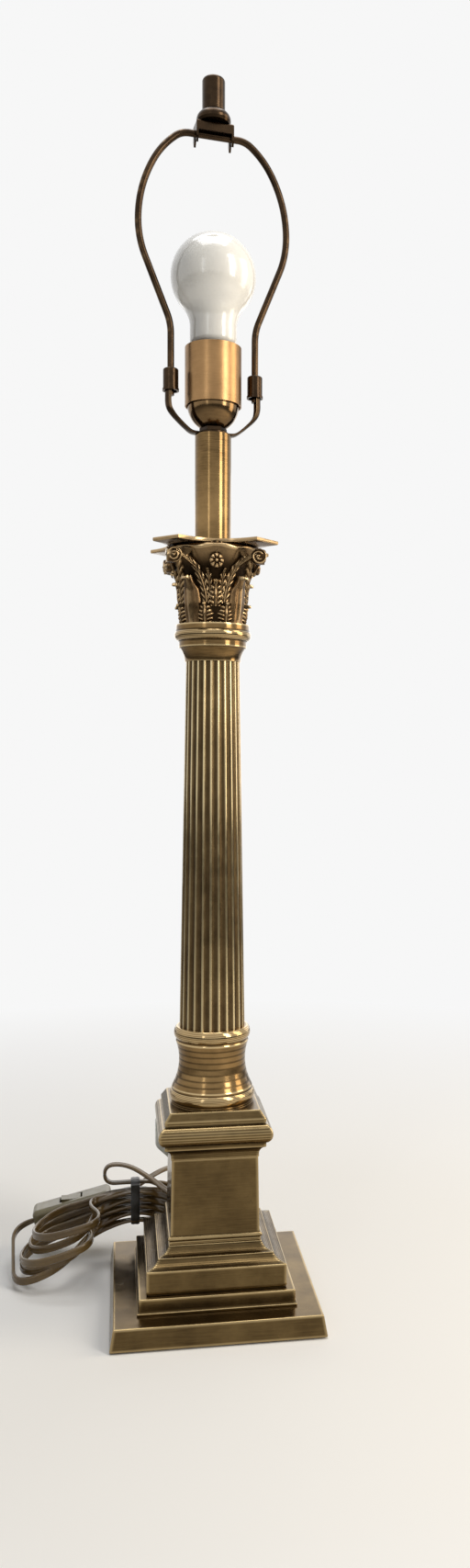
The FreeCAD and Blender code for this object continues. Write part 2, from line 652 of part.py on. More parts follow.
def leaf(width, top, thick, curl):
    """Leaf that hugs the bell at the front, with lobed edges and a tip that rolls outwards."""
    low = COLLAR_TOP
    skin = turned_solid(bell_profile(-LEAF_ROOT) + bell_profile(thick)[::-1])
    half, height = width / 2, top - low
    outline = [V(half * 0.72, 0, low + LEAF_LIFT)]
    for i in range(LEAF_LOBES):
        share = (i + 1.0) / LEAF_LOBES
        notch = half * (0.92 - 0.07 * i if i < LEAF_LOBES - 1 else 0.36)
        outline.append(V(half * (1.16 - 0.08 * i), 0, low + height * (share - 0.55 / LEAF_LOBES)))
        outline.append(V(notch, 0, low + height * share))
    mirror = [V(-point.x, 0, point.z) for point in reversed(outline)]
    edges = []
    for line in (outline, mirror):
        for i in range(0, len(line) - 1, 2):
            edges.append(Part.Arc(line[i], line[i + 1], line[i + 2]).toShape())
    edges.insert(LEAF_LOBES, Part.makeLine(outline[-1], mirror[0]))
    edges.append(Part.makeLine(mirror[-1], outline[0]))
    blade = skin.common(Part.Face(Part.Wire(edges)).extrude(V(0, -60, 0)))
    reach = bell_radius_at(top) + thick
    roll = Part.makeCylinder(curl, width * 0.46, V(-width * 0.23, -reach, top - curl * 0.8), ACROSS)
    return blade.fuse(roll)


def flower():
    """Round flower at the front: a button in a ring of petals on a disc."""
    radius, face = FLOWER_RADIUS, -FLOWER_OUT
    disc = Part.makeCylinder(radius * 0.8, 6, V(0, face + 1.4, FLOWER_Z), BACK)
    button = Part.makeCone(radius * 0.2, radius * 0.36, 3, V(0, face - 1.0, FLOWER_Z), BACK)
    petals = []
    for i in range(PETALS):
        angle = 2 * math.pi * i / PETALS
        centre = V(radius * 0.64 * math.cos(angle), face, FLOWER_Z + radius * 0.64 * math.sin(angle))
        petals.append(Part.makeCone(radius * 0.22, radius * 0.34, 4, centre, BACK))
    return disc.multiFuse(petals + [button])


def volute(hand):
    """Scroll under a horn, with the stalk that leads to it from the bell."""
    middle = V(hand * VOLUTE_ASIDE, -VOLUTE_OUT, VOLUTE_Z)
    disc = Part.makeCylinder(VOLUTE_RADIUS, VOLUTE_THICK, middle, BACK)
    eye = Part.makeCylinder(VOLUTE_RADIUS * 0.35, VOLUTE_THICK, middle - BACK * VOLUTE_EYE_PROUD, BACK)
    inner, outer = VOLUTE_ASIDE - VOLUTE_STALK, VOLUTE_ASIDE - VOLUTE_RADIUS * 0.4
    low, high = VOLUTE_Z - VOLUTE_RADIUS * 1.6, VOLUTE_Z - VOLUTE_RADIUS * 0.8
    stalk = side_wire([(inner, low), (outer, high), (outer, high + VOLUTE_STALK_HIGH),
                       (inner, low + VOLUTE_STALK_HIGH)])
    stalk = Part.Face(stalk).extrude(V(0, VOLUTE_THICK + 8, 0)).translated(V(0, -VOLUTE_OUT + 0.5, 0))
    if hand < 0:
        stalk = stalk.mirror(ORIGIN, ACROSS)
    return disc.multiFuse([eye, stalk])


def capital():
    """Bell with two rows of leaves, corner leaves, volutes and a flower on each side."""
    bell = turned_solid(bell_profile(0) + [(BELL_LIP_RADIUS, BELL_TOP - 1.0),
                                           (BELL_LIP_RADIUS - 1.2, BELL_TOP),
                                           (ROD_RADIUS + ROD_HOLE_GAP, BELL_TOP),
                                           (ROD_RADIUS + ROD_HOLE_GAP, BELL_TOP - BELL_WALL),
                                           (BELL_FOOT_RADIUS - BELL_WALL, BELL_TOP - BELL_WALL),
                                           (BELL_FOOT_RADIUS - BELL_WALL, COLLAR_TOP)])
    low_leaf = leaf(LOW_LEAF_WIDTH, LOW_LEAF_TOP, LOW_LEAF_THICK, LEAF_CURL)
    high_leaf = leaf(HIGH_LEAF_WIDTH, HIGH_LEAF_TOP, HIGH_LEAF_THICK, LEAF_CURL)
    corner_leaf = leaf(CORNER_LEAF_WIDTH, CORNER_LEAF_TOP, CORNER_LEAF_THICK, CORNER_LEAF_CURL)
    adds = []
    for piece, turns in ((low_leaf, (-LOW_LEAF_ANGLE, LOW_LEAF_ANGLE)), (high_leaf, (0,)),
                         (corner_leaf, (45,)), (volute(-1), (0,)), (volute(1), (0,)), (flower(), (0,))):
        for first in turns:
            adds += around(piece, 4, first)
    return bell.multiFuse(adds)


def abacus_plate():
    """Thin plate with four blunt horns and hollow sides."""
    half, cut, hollow = ABACUS_HORN_HALF, ABACUS_HORN_CUT, ABACUS_HOLLOW_HALF
    edges = []
    for side in range(4):
        left, right = V(-half + cut, -half, BELL_TOP), V(half - cut, -half, BELL_TOP)
        corner = V(half, -half + cut, BELL_TOP)
        arc = Part.Arc(left, V(0, -hollow, BELL_TOP), right).toShape()
        edges += [e.rotated(ORIGIN, UP, 90.0 * side) for e in (arc, Part.makeLine(right, corner))]
    plate = Part.Face(Part.Wire(edges)).extrude(V(0, 0, ABACUS_TOP - BELL_TOP))
    return plate.cut(rod_hole(BELL_TOP, ABACUS_TOP))


def neck_tube():
    return tube(NECK_RADIUS, NECK_RADIUS - NECK_WALL, ABACUS_TOP, NECK_TOP)


def rod_spacers():
    """Discs that centre the rod in the hollow pieces."""
    bore = ROD_RADIUS + THREAD_GAP
    neck_fit = NECK_RADIUS - NECK_WALL - THREAD_GAP
    seats = [(column_radius_at(FOOT_TOP) - COLUMN_WALL - 2.0, FOOT_TOP + 10.0),
             (column_radius_at(COLUMN_TOP) - COLUMN_WALL - SEAT_GAP, COLUMN_TOP - 8.0),
             (neck_fit, ABACUS_TOP), (neck_fit, NECK_TOP - SPACER_THICK)]
    return [tube(radius, bore, low, low + SPACER_THICK) for radius, low in seats]


def threaded_rod():
    return tube(ROD_RADIUS, ROD_BORE_RADIUS, ROD_FOOT, ROD_TOP)


def base_fastening():
    washer_top = PLATE_TOP - PLATE_ROOF
    washer_low = washer_top - BASE_WASHER_THICK
    washer = tube(BASE_WASHER_RADIUS, ROD_RADIUS + ROD_HOLE_GAP, washer_low, washer_top)
    nut = hexagon(BASE_NUT_FLATS, washer_low - BASE_NUT_THICK, washer_low, ROD_RADIUS + THREAD_GAP)
    return washer, nut


# ---- lamp holder -----------------------------------------------------------------------
def socket_cup():
    """Round-bottomed cap that carries the holder, with the ledge for the insulator."""
    seat = NECK_TOP + SADDLE_THICK + LOCKNUT_THICK
    ball = Part.makeSphere(CUP_RADIUS, V(0, 0, CUP_CENTRE_Z))
    ball = ball.common(cylinder(60, seat, CUP_CENTRE_Z))
    body = ball.fuse(cylinder(CUP_RADIUS, CUP_CENTRE_Z, CUP_RIM_Z))
    inner = Part.makeSphere(CUP_RADIUS - CUP_WALL, V(0, 0, CUP_CENTRE_Z))
    inner = inner.common(cylinder(60, seat + 2 * CUP_WALL, CUP_CENTRE_Z))
    inner = inner.fuse(cylinder(CUP_RADIUS - CUP_WALL, CUP_CENTRE_Z, CUP_LEDGE_Z))
    inner = inner.fuse(cylinder(CUP_RADIUS - CUP_WALL + CUP_LEDGE, CUP_LEDGE_Z, CUP_RIM_Z + 1))
    thread = cylinder(ROD_RADIUS + THREAD_GAP, seat - 1, seat + 4 * CUP_WALL)
    return body.cut(inner).cut(thread).removeSplitter()


def socket_sleeve():
    """Tall brass cover with a turned-in ring that grips the cup's rim."""
    inner = SLEEVE_RADIUS - SLEEVE_WALL
    cover = tube(SLEEVE_RADIUS, inner, SLEEVE_FOOT, SLEEVE_TOP)
    ring = tube(inner, CUP_RADIUS + THREAD_GAP, SLEEVE_FOOT + 1.6, SLEEVE_RING_HIGH)
    return cover.fuse(ring).removeSplitter()


def socket_insulator():
    radius = CUP_RADIUS - CUP_WALL + CUP_LEDGE - THREAD_GAP
    disc = cylinder(radius, CUP_LEDGE_Z, CUP_LEDGE_Z + INSULATOR_THICK)
    for hand in (-1, 1):
        disc = disc.cut(cylinder(1.4, CUP_LEDGE_Z - 1, CUP_LEDGE_Z + INSULATOR_THICK + 1, hand * 8.0, 0))
    return disc


def liner_radius():
    return SHELL_CREST_RADIUS + SHELL_WALL + 0.9 + RUNNING_GAP


def socket_liner():
    low = CUP_LEDGE_Z + INSULATOR_THICK
    return tube(liner_radius() + LINER_WALL, liner_radius(), low, LINER_TOP)


def waved_tube(crest, depth, wall, low, high, pitch):
    """Thin tube rolled into rounded rings, one to a pitch."""
    steps = int((high - low - 1.0) / pitch)
    start = low + (high - low - steps * pitch) / 2
    lines = []
    for radius in (crest, crest + wall):
        line = [(radius, low), (radius, start)]
        for i in range(steps):
            foot = start + i * pitch
            line += [(radius + depth, foot + pitch / 2, "arc"), (radius, foot + pitch)]
        lines.append(line + [(radius, high)])
    return turned_solid(lines[0] + lines[1][::-1])


def screw_shell():
    low = CUP_LEDGE_Z + INSULATOR_THICK
    return waved_tube(SHELL_CREST_RADIUS, 0.8, SHELL_WALL, low, SHELL_TOP, BULB_PITCH)


def centre_contact():
    low = CUP_LEDGE_Z + INSULATOR_THICK
    strip = Part.makeBox(18, 5, 0.6, V(-9, -2.5, low))
    return strip.fuse(cylinder(2.0, low + 0.6, TIP_LOW - RUNNING_GAP))


def terminals():
    blocks, screws = [], []
    for hand in (-1, 1):
        block = Part.makeBox(5, 6, 4.4, V(hand * 8.0 - 2.5, -3, CUP_LEDGE_Z - 4.4))
        middle = V(hand * 8.0, -3, CUP_LEDGE_Z - 2.2)
        blocks.append(block.cut(Part.makeCylinder(1.25, 4, middle, BACK)))
        screw = Part.makeCylinder(1.2, 3.4, middle, BACK)
        screws.append(screw.fuse(Part.makeCylinder(2.0, 1.4, middle - BACK * 1.4, BACK)))
    return blocks, screws


# ---- bulb ------------------------------------------------------------------------------
def glass_profile(inset):
    """Half outline of the bulb's glass, from its foot to its crown."""
    globe, neck, shoulder = GLOBE_RADIUS - inset, GLASS_NECK_RADIUS - inset, GLASS_SHOULDER_RADIUS + inset
    drop = math.sqrt((globe + shoulder) ** 2 - (neck + shoulder) ** 2)
    bend_z = GLOBE_Z - drop
    share = globe / (globe + shoulder)
    join = ((neck + shoulder) * share, GLOBE_Z - drop * share)
    half = math.atan2(drop, neck + shoulder) / 2
    shoulder_mid = (neck + shoulder - shoulder * math.cos(half),
                    bend_z + shoulder * math.sin(half), "arc")
    foot_z = CAP_HIGH - 1.0 if inset == 0 else CAP_HIGH - 0.2

    def on_globe(angle):
        return (globe * math.cos(angle), GLOBE_Z + globe * math.sin(angle))

    low = math.asin((join[1] - GLOBE_Z) / globe)
    high = math.pi / 4
    foot = GLASS_FOOT_RADIUS - inset
    return [(foot, foot_z), (foot, CAP_HIGH + 0.2), (foot + 2.9, CAP_HIGH + 3.4, "arc"),
            (neck, bend_z - 8.0), (neck, bend_z), shoulder_mid, join,
            on_globe((low + high) / 2) + ("arc",), on_globe(high),
            on_globe(3 * math.pi / 8) + ("arc",), (0, GLOBE_Z + globe)]


def bulb_glass():
    outer = glass_profile(0)
    inner = glass_profile(GLASS_WALL)
    solid = turned_solid(outer + [(0, outer[0][1])])
    hollow = turned_solid(inner + [(0, inner[0][1])])
    mouth = cylinder(GLASS_FOOT_RADIUS - GLASS_WALL - 0.6, CAP_HIGH - 5, CAP_HIGH + 3)
    return solid.cut(hollow).cut(mouth)


def bulb_cap():
    """Rolled thread shell, closed below round the black glass that holds the tip."""
    depth = CAP_CREST_RADIUS - CAP_ROOT_RADIUS
    return waved_tube(CAP_ROOT_RADIUS - CAP_WALL, depth, CAP_WALL, CAP_LOW + 2, CAP_HIGH, BULB_PITCH)


def bulb_vitrite():
    """Black glass between the thread shell and the tip."""
    bore, inside = TIP_RADIUS + THREAD_GAP, CAP_ROOT_RADIUS - CAP_WALL - THREAD_GAP
    return turned_solid([(bore, TIP_LOW + 0.6), (bore + 0.8, TIP_LOW + 0.6), (inside, CAP_LOW + 1.2),
                         (inside, CAP_LOW + 4.4), (bore, CAP_LOW + 4.4)])


def bulb_tip():
    return cylinder(TIP_RADIUS, TIP_LOW, TIP_LOW + 1.2).fuse(cylinder(2.0, TIP_LOW + 1.2, TIP_LOW + 4.0))


def bulb_stem():
    """Glass mount that closes the bulb's foot and carries the filament's leads."""
    rim = GLASS_FOOT_RADIUS - GLASS_WALL - 0.8
    return turned_solid([(0, CAP_HIGH - 1.0), (rim, CAP_HIGH - 1.0), (rim, CAP_HIGH),
                         (4.0, CAP_HIGH + 6.5, "arc"), (2.6, CAP_HIGH + 22.0), (0, CAP_HIGH + 22.0)])


def bulb_filament():
    low = CAP_HIGH + 22.0
    points = [V(-1.4, 0, low), V(-FILAMENT_RADIUS, 0, FILAMENT_Z), V(-5, -10, FILAMENT_Z + 1),
              V(5, -10, FILAMENT_Z + 1), V(FILAMENT_RADIUS, 0, FILAMENT_Z), V(1.4, 0, low)]
    return swept(rounded_route(points, [1.5] * 4), WIRE_RADIUS)


# ---- harp ------------------------------------------------------------------------------
def harp_trail():
    """Middle line of the wire, from the left foot over the crown to the right foot."""
    upper = [(HARP_SPREAD_ANGLE, HARP_BELLY_RADIUS), (HARP_FLANK_ANGLE, HARP_FLANK_RADIUS),
             (HARP_SHOULDER_ANGLE - HARP_FLANK_ANGLE, HARP_SHOULDER_RADIUS),
             (90.0 - HARP_SHOULDER_ANGLE, HARP_CROWN_RADIUS)]
    trail = Trail(V(-HARP_LEG_HALF, 0, HARP_FOOT), UP)
    trail.run(HARP_BEND_Z - HARP_FOOT)
    trail.turn(HARP_BEND_RADIUS, -HARP_SPREAD_ANGLE, BACK)
    trail.run(HARP_SLOPE)
    for angle, radius in upper:
        trail.turn(radius, angle, BACK)
    trail.run(-2 * trail.point.x)
    for angle, radius in reversed(upper):
        trail.turn(radius, angle, BACK)
    trail.run(HARP_SLOPE)
    trail.turn(HARP_BEND_RADIUS, -HARP_SPREAD_ANGLE, BACK)
    trail.run(HARP_BEND_Z - HARP_FOOT)
    return trail


def harp_crown_z():
    return max(edge.Vertexes[0].Point.z for edge in harp_trail().edges)


def harp_saddle():
    """Strip under the lamp holder whose two arms rise and end in gutters for the harp's feet."""
    outer_x, inner_x = HARP_LEG_HALF + ARM_RADIUS, HARP_LEG_HALF - ARM_RADIUS
    top = NECK_TOP + SADDLE_THICK
    arms = []
    for turn in (0, 180):
        outline = side_wire([(0, NECK_TOP), (ARM_STRIP_HALF, NECK_TOP), (outer_x, ARM_BEND_Z),
                             (outer_x, ARM_UPRIGHT_Z), (inner_x, ARM_UPRIGHT_Z),
                             (inner_x + 1.4, ARM_BEND_Z + 3.6), (ARM_STRIP_HALF - 1.0, top), (0, top)])
        arm = Part.Face(outline).extrude(V(0, 2 * ARM_RADIUS, 0)).translated(V(0, -ARM_RADIUS, 0))
        groove = side_wire([(ARM_STRIP_HALF + 2.5, top + 0.6), (outer_x - ARM_WALL, ARM_BEND_Z + 1.0),
                            (outer_x - ARM_WALL, ARM_UPRIGHT_Z), (inner_x - 2, ARM_UPRIGHT_Z),
                            (inner_x - 2, ARM_BEND_Z), (ARM_STRIP_HALF + 1.0, top + 2.6)])
        half = ARM_RADIUS - ARM_WALL
        arm = arm.cut(Part.Face(groove).extrude(V(0, 2 * half, 0)).translated(V(0, -half, 0)))
        post = cylinder(ARM_RADIUS, ARM_UPRIGHT_Z - 1.5, ARM_TOP, HARP_LEG_HALF)
        arm = arm.fuse(post)
        floor = HARP_FOOT - RUNNING_GAP
        arm = arm.cut(cylinder(half, floor, ARM_TOP + 1, HARP_LEG_HALF))
        arm = arm.cut(Part.makeBox(ARM_RADIUS + 1, 2 * half, ARM_TOP - floor + 1,
                                   V(HARP_LEG_HALF - ARM_RADIUS - 1, -half, floor)))
        arms.append(arm.rotated(ORIGIN, UP, turn))
    hub = cylinder(NECK_RADIUS - 3.2, NECK_TOP, top)
    return hub.multiFuse(arms).cut(rod_hole(NECK_TOP, top)).removeSplitter()


def harp_wire():
    return swept(harp_trail().edges, HARP_WIRE_RADIUS)


def ferrule(hand):
    """Sleeve that slides down over an arm's gutter and the harp's foot, with a lip round the wire."""
    x = hand * HARP_LEG_HALF
    high = FERRULE_LOW + FERRULE_HEIGHT
    sleeve = cylinder(FERRULE_RADIUS, FERRULE_LOW, high, x)
    sleeve = sleeve.makeFillet(1.2, [edge for edge in sleeve.Edges if edge.BoundBox.ZMin > high - 0.1])
    sleeve = sleeve.fuse(cylinder(FERRULE_SKIRT_RADIUS, FERRULE_LOW, FERRULE_LOW + 1.6, x))
    bore = cylinder(FERRULE_RADIUS - FERRULE_WALL, FERRULE_LOW - 1, high - FERRULE_LIP, x)
    return sleeve.cut(bore).cut(cylinder(HARP_WIRE_RADIUS + 2 * THREAD_GAP, FERRULE_LOW, high + 1, x))


def harp_bracket():
    """Pressed saddle over the crown of the wire, with pointed claws bent down at each side of it."""
    middle = harp_crown_z()
    top, sheet, bore = middle + BRACKET_HEIGHT, BRACKET_SHEET, HARP_WIRE_RADIUS + THREAD_GAP
    low = middle + BRACKET_SKIRT
    half_deep = BRACKET_DEPTH / 2
    box = Part.makeBox(2 * BRACKET_HALF, BRACKET_DEPTH, top - low, V(-BRACKET_HALF, -half_deep, low))
    box = box.makeFillet(2.0, [edge for edge in box.Edges if edge.BoundBox.ZMin > top - 0.1])
    room = Part.makeBox(2 * (BRACKET_HALF - sheet), BRACKET_DEPTH - 2 * sheet, top - sheet - low,
                        V(-BRACKET_HALF + sheet, -half_deep + sheet, low))
    body = box.cut(room)
    points = [(-half_deep, BRACKET_SKIRT), (-half_deep, -3.4), (-4.3, -BRACKET_CLAW), (-bore, -4.6),
              (bore, -4.6), (4.3, -BRACKET_CLAW), (half_deep, -3.4), (half_deep, BRACKET_SKIRT)]
    outline = [V(0, y, middle + z) for y, z in points]
    tab = Part.Face(Part.makePolygon(outline + outline[:1])).extrude(V(sheet, 0, 0))
    for x in (-BRACKET_HALF, BRACKET_HALF - sheet):
        body = body.fuse(tab.translated(V(x, 0, 0)))
    long = 2 * BRACKET_HALF + 2
    body = body.cut(Part.makeCylinder(bore, long, V(-long / 2, 0, middle), ACROSS))
    body = body.cut(Part.makeBox(long, 2 * bore, 12, V(-long / 2, -bore, middle - 12)))
    return body.cut(cylinder(STUD_RADIUS + THREAD_GAP, low, top + 1)).removeSplitter()


def harp_stud():
    seat = harp_crown_z() + BRACKET_HEIGHT - BRACKET_SHEET
    top = seat + BRACKET_SHEET + STUD_ABOVE
    return cylinder(STUD_HEAD_RADIUS, seat - STUD_HEAD, seat).fuse(cylinder(STUD_RADIUS, seat - 0.1, top))


def washer_seat():
    return harp_crown_z() + BRACKET_HEIGHT


def cup_washer():
    low, bore = washer_seat(), STUD_RADIUS + SEAT_GAP
    high = low + WASHER_HEIGHT
    return turned_solid([(bore, low), (WASHER_RADIUS - 0.9, low), (WASHER_RADIUS, low + 1.6),
                         (WASHER_RADIUS, low + 3.2),
                         (WASHER_RADIUS - 1.1, low + 6.0, "arc"), (FINIAL_RADIUS + 0.5, high),
                         (bore, high)])


def finial_foot():
    return washer_seat() + WASHER_HEIGHT + RUNNING_GAP


def finial_insert():
    low = finial_foot() + 0.8
    return tube(INSERT_RADIUS, STUD_RADIUS + RUNNING_GAP, low, low + INSERT_LONG)


def finial():
    low, high = finial_foot(), finial_foot() + FINIAL_HEIGHT
    body = turned_solid([(0, low), (FINIAL_RADIUS - 0.3, low), (FINIAL_RADIUS, low + 0.3),
                         (FINIAL_RADIUS, high - FINIAL_DOME),
                         (FINIAL_RADIUS - FINIAL_DOME * 0.22, high - FINIAL_DOME * 0.36, "arc"),
                         (FINIAL_RADIUS - FINIAL_DOME, high - 0.3), (0, high)])
    body = body.cut(cylinder(INSERT_RADIUS + THREAD_GAP, low - 1, low + 0.8 + INSERT_LONG + 0.2))
    return body.cut(cylinder(STUD_RADIUS + 0.5, low - 1, low + FINIAL_BORE))


# ---- lead ------------------------------------------------------------------------------
def bush_face():
    """Distance from the axis to the flat round the lead's hole."""
    return PLATE_HEAD_HALF


def cord_bush():
    """Moulded bush in the plate's back wall, with a tapered sleeve outside it."""
    face = bush_face()
    outer_wall = PLATE_WALL + ARRIS
    inner = PLATE_FOOT_HALF - outer_wall

    def along(radius, start, end, tip=None):
        at, length = V(0, start, CORD_EXIT_Z), end - start
        if tip is None:
            return Part.makeCylinder(radius, length, at, BACK)
        return Part.makeCone(radius, tip, length, at, BACK)

    body = along(BUSH_RADIUS, inner - 0.5, face + 0.5)
    parts = [along(BUSH_FLANGE_RADIUS, face, face + BUSH_FLANGE),
             along(BUSH_RADIUS + 0.7, inner - 1.6, inner - 0.1),
             along(BUSH_RADIUS + 0.2, face + BUSH_FLANGE, face + BUSH_SLEEVE, BUSH_TIP_RADIUS)]
    bore = along(CORD_DIAMETER / 2 + THREAD_GAP, inner - 3, face + BUSH_SLEEVE + 1)
    return body.multiFuse(parts).cut(bore).removeSplitter()


def inner_cord():
    """Lead from the plate's back wall through the weight's channel and up the rod."""
    points = [V(0, 0, ROD_TOP + 2), V(0, 0, CORD_RUN_Z), V(0, 40, CORD_RUN_Z), V(0, 57, CORD_EXIT_Z),
              V(0, bush_face(), CORD_EXIT_Z)]
    return swept(rounded_route(points, [CORD_BEND_RADIUS, 40.0, 40.0]), CORD_DIAMETER / 2)


def inner_wires():
    wires = []
    for hand in (-1, 1):
        block_low = CUP_LEDGE_Z - 4.4
        points = [V(hand * 1.1, 0, ROD_TOP + 2), V(hand * 1.1, 0, ROD_TOP + 4.2),
                  V(hand * 8.0, 0, block_low - 2.0), V(hand * 8.0, 0, block_low)]
        wires.append(swept(rounded_route(points, [1.2, 1.2]), 0.8))
    return wires


# ---- cord behind the base --------------------------------------------------------------
def switch_heading():
    slope = math.radians(SWITCH_SLOPE)
    return V(-math.cos(slope), 0, -math.sin(slope))


def turn_height(number):
    return WAIST_LOW + TURN_PITCH * number


def hank_trail():
    """Middle line of the hank: from the switch round five pairs of loops, back through the tie."""
    half = WAIST_SPACE / 2
    left_x, right_x = WAIST_X - WAIST_RUN / 2, WAIST_X + WAIST_RUN / 2

    def tilt_foot(x, y, z, degrees, side):
        """Point where a tilt's arc that starts at the tie's run ends."""
        angle = math.radians(degrees)
        return V(x + side * TILT_RADIUS * math.sin(angle), y, z - TILT_RADIUS * (1 - math.cos(angle)))

    def slope_down(degrees, side):
        return V(side * math.cos(math.radians(degrees)), 0, -math.sin(math.radians(degrees)))

    trail = Trail(SWITCH_RIGHT + switch_heading() * SWITCH_LONG, switch_heading())
    trail.run(CORD_DIAMETER)
    for number in range(TURNS):
        tilt, height, radius = LEFT_TILTS[number], turn_height(number), LEFT_RADII[number]
        foot = tilt_foot(left_x, WAIST_Y - half, height, tilt, -1)
        down = slope_down(tilt, -1)
        normal = BACK.cross(down)
        if number == 0:
            trail.turn(TILT_RADIUS, SWITCH_SLOPE - tilt, BACK)
            above = (trail.point - foot).dot(normal)
            span = OUTER_LOOP_SPAN + 2 * radius
            across = math.asin(above / span)
            sideways = BACK * -math.cos(across) - normal * math.sin(across)
            axis = down.cross(sideways)
            trail.turn(radius, 90, axis)
            trail.run(OUTER_LOOP_SPAN)
            trail.turn(radius, 90, axis)
        else:
            trail.run(WAIST_RUN)
            trail.turn(TILT_RADIUS, -tilt, BACK)
            rear = V(trail.point.x, WAIST_Y + LEFT_BACK, trail.point.z)
            trail.shift(rear + down * LEFT_REACHES[number - 1])
            trail.turn(radius, 90, normal)
            trail.turn(radius, 90, normal)
        trail.shift(foot)
        trail.turn(TILT_RADIUS, tilt, BACK)
        trail.run(WAIST_RUN)
        trail.turn(TILT_RADIUS, RIGHT_TILT, BACK)
        radius = RIGHT_RADII[number]
        down = slope_down(RIGHT_TILT, 1)
        normal = down.cross(BACK)
        front = V(trail.point.x, WAIST_Y + RIGHT_BACK - radius, trail.point.z)
        trail.shift(front + down * RIGHT_REACHES[number])
        trail.turn(radius, 90, normal)
        trail.turn(radius, 90, normal)
        trail.shift(tilt_foot(right_x, WAIST_Y + half, turn_height(number + 1), RIGHT_TILT, 1))
        trail.turn(TILT_RADIUS, -RIGHT_TILT, BACK)
    trail.run(WAIST_RUN + CORD_DIAMETER)
    return trail


def least_gap(edges, diameter, skip):
    """Smallest room between two stretches of one tube that lie further apart along it than skip."""
    step, points = 1.5, []
    travelled = 0.0
    for edge in edges:
        count = max(2, int(edge.Length / step))
        for place in edge.discretize(count)[:-1]:
            points.append((travelled, place))
            travelled += edge.Length / (count - 1)
    least = 1e9
    for number, (along, place) in enumerate(points):
        for further, other in points[number + 1:]:
            if further - along > skip:
                least = min(least, place.distanceToPoint(other))
    return least - diameter


def cord_hank():
    """The wound part of the lead, between the switch and the tail."""
    trail = hank_trail()
    print("hank length", round(sum(edge.Length for edge in trail.edges), 1),
          "radii", sorted(round(radius, 1) for radius in trail.radii)[:6],
          "least gap to itself", round(least_gap(trail.edges, CORD_DIAMETER, 6 * CORD_DIAMETER), 2))
    return wound_tube(trail.edges, CORD_DIAMETER / 2)


def eased_radii(points):
    """Radius of each arc of a route: 0.45 of its shorter run over the tangent of half the turn."""
    radii = []
    for before, here, after in zip(points, points[1:], points[2:]):
        into, away = here - before, after - here
        half = into.getAngle(away) / 2
        radii.append(0.45 * min(into.Length, away.Length) / math.tan(half))
    return radii


def cord_lead():
    """From the bush up in an arch behind the base and down to the switch."""
    tip = bush_face() + BUSH_SLEEVE
    points = [V(0, tip, CORD_EXIT_Z), V(0, tip + LEAD_STRAIGHT, CORD_EXIT_Z)] + LEAD_ROUTE
    points += [SWITCH_RIGHT - switch_heading() * LEAD_END, SWITCH_RIGHT]
    radii = eased_radii(points)
    in_sleeve = Part.LineSegment(V(0, bush_face(), CORD_EXIT_Z), points[0]).toShape()
    edges = [in_sleeve] + rounded_route(points, radii)
    print("lead length", round(sum(edge.Length for edge in edges), 1),
          "radii", [round(r, 1) for r in radii])
    return wound_tube(edges, CORD_DIAMETER / 2)


def cord_tail():
    """From the hank's end over a tight fold and behind the die up into the plug."""
    start_x = WAIST_X - WAIST_RUN / 2 - CORD_DIAMETER
    trail = Trail(V(start_x, WAIST_Y + WAIST_SPACE / 2, turn_height(TURNS)), -ACROSS)
    trail.run(CORD_DIAMETER)
    trail.turn(TAIL_FOLD_RADIUS, TAIL_FOLD_DEGREES, BACK)
    plug = V(PLUG_X, PLUG_Y, PLUG_FOOT)
    points = [trail.point, trail.point + trail.heading * TAIL_STRAIGHT] + TAIL_ROUTE
    points += [plug - UP * TAIL_END, plug]
    radii = eased_radii(points)
    edges = trail.edges + rounded_route(points, radii)
    print("tail length", round(sum(edge.Length for edge in edges), 1), "radii",
          [TAIL_FOLD_RADIUS] + [round(r, 1) for r in radii])
    return wound_tube(edges, CORD_DIAMETER / 2)


def cord_tie():
    """Plastic strap round the waist of the hank."""
    room = CORD_DIAMETER / 2 + SEAT_GAP
    low, high = turn_height(0), turn_height(TURNS)

    def sleeve(grow):
        half = WAIST_SPACE / 2 + room + grow
        block = Part.makeBox(TIE_WIDE, 2 * half, high - low + 2 * (room + grow),
                             V(WAIST_X - TIE_WIDE / 2, WAIST_Y - half, low - room - grow))
        along = [edge for edge in block.Edges if edge.BoundBox.XLength > TIE_WIDE - 0.1]
        return block.makeFillet(room + grow, along)

    return sleeve(TIE_THICK).cut(sleeve(0))


def switch_placed(shape):
    """Lays a shape that is modelled about the switch's middle where the switch is."""
    middle = SWITCH_RIGHT + switch_heading() * (SWITCH_LONG / 2)
    return shape.rotated(ORIGIN, BACK, -SWITCH_SLOPE).translated(middle)


def centred_box(long, wide, high, low):
    return Part.makeBox(long, wide, high, V(-long / 2, -wide / 2, low))


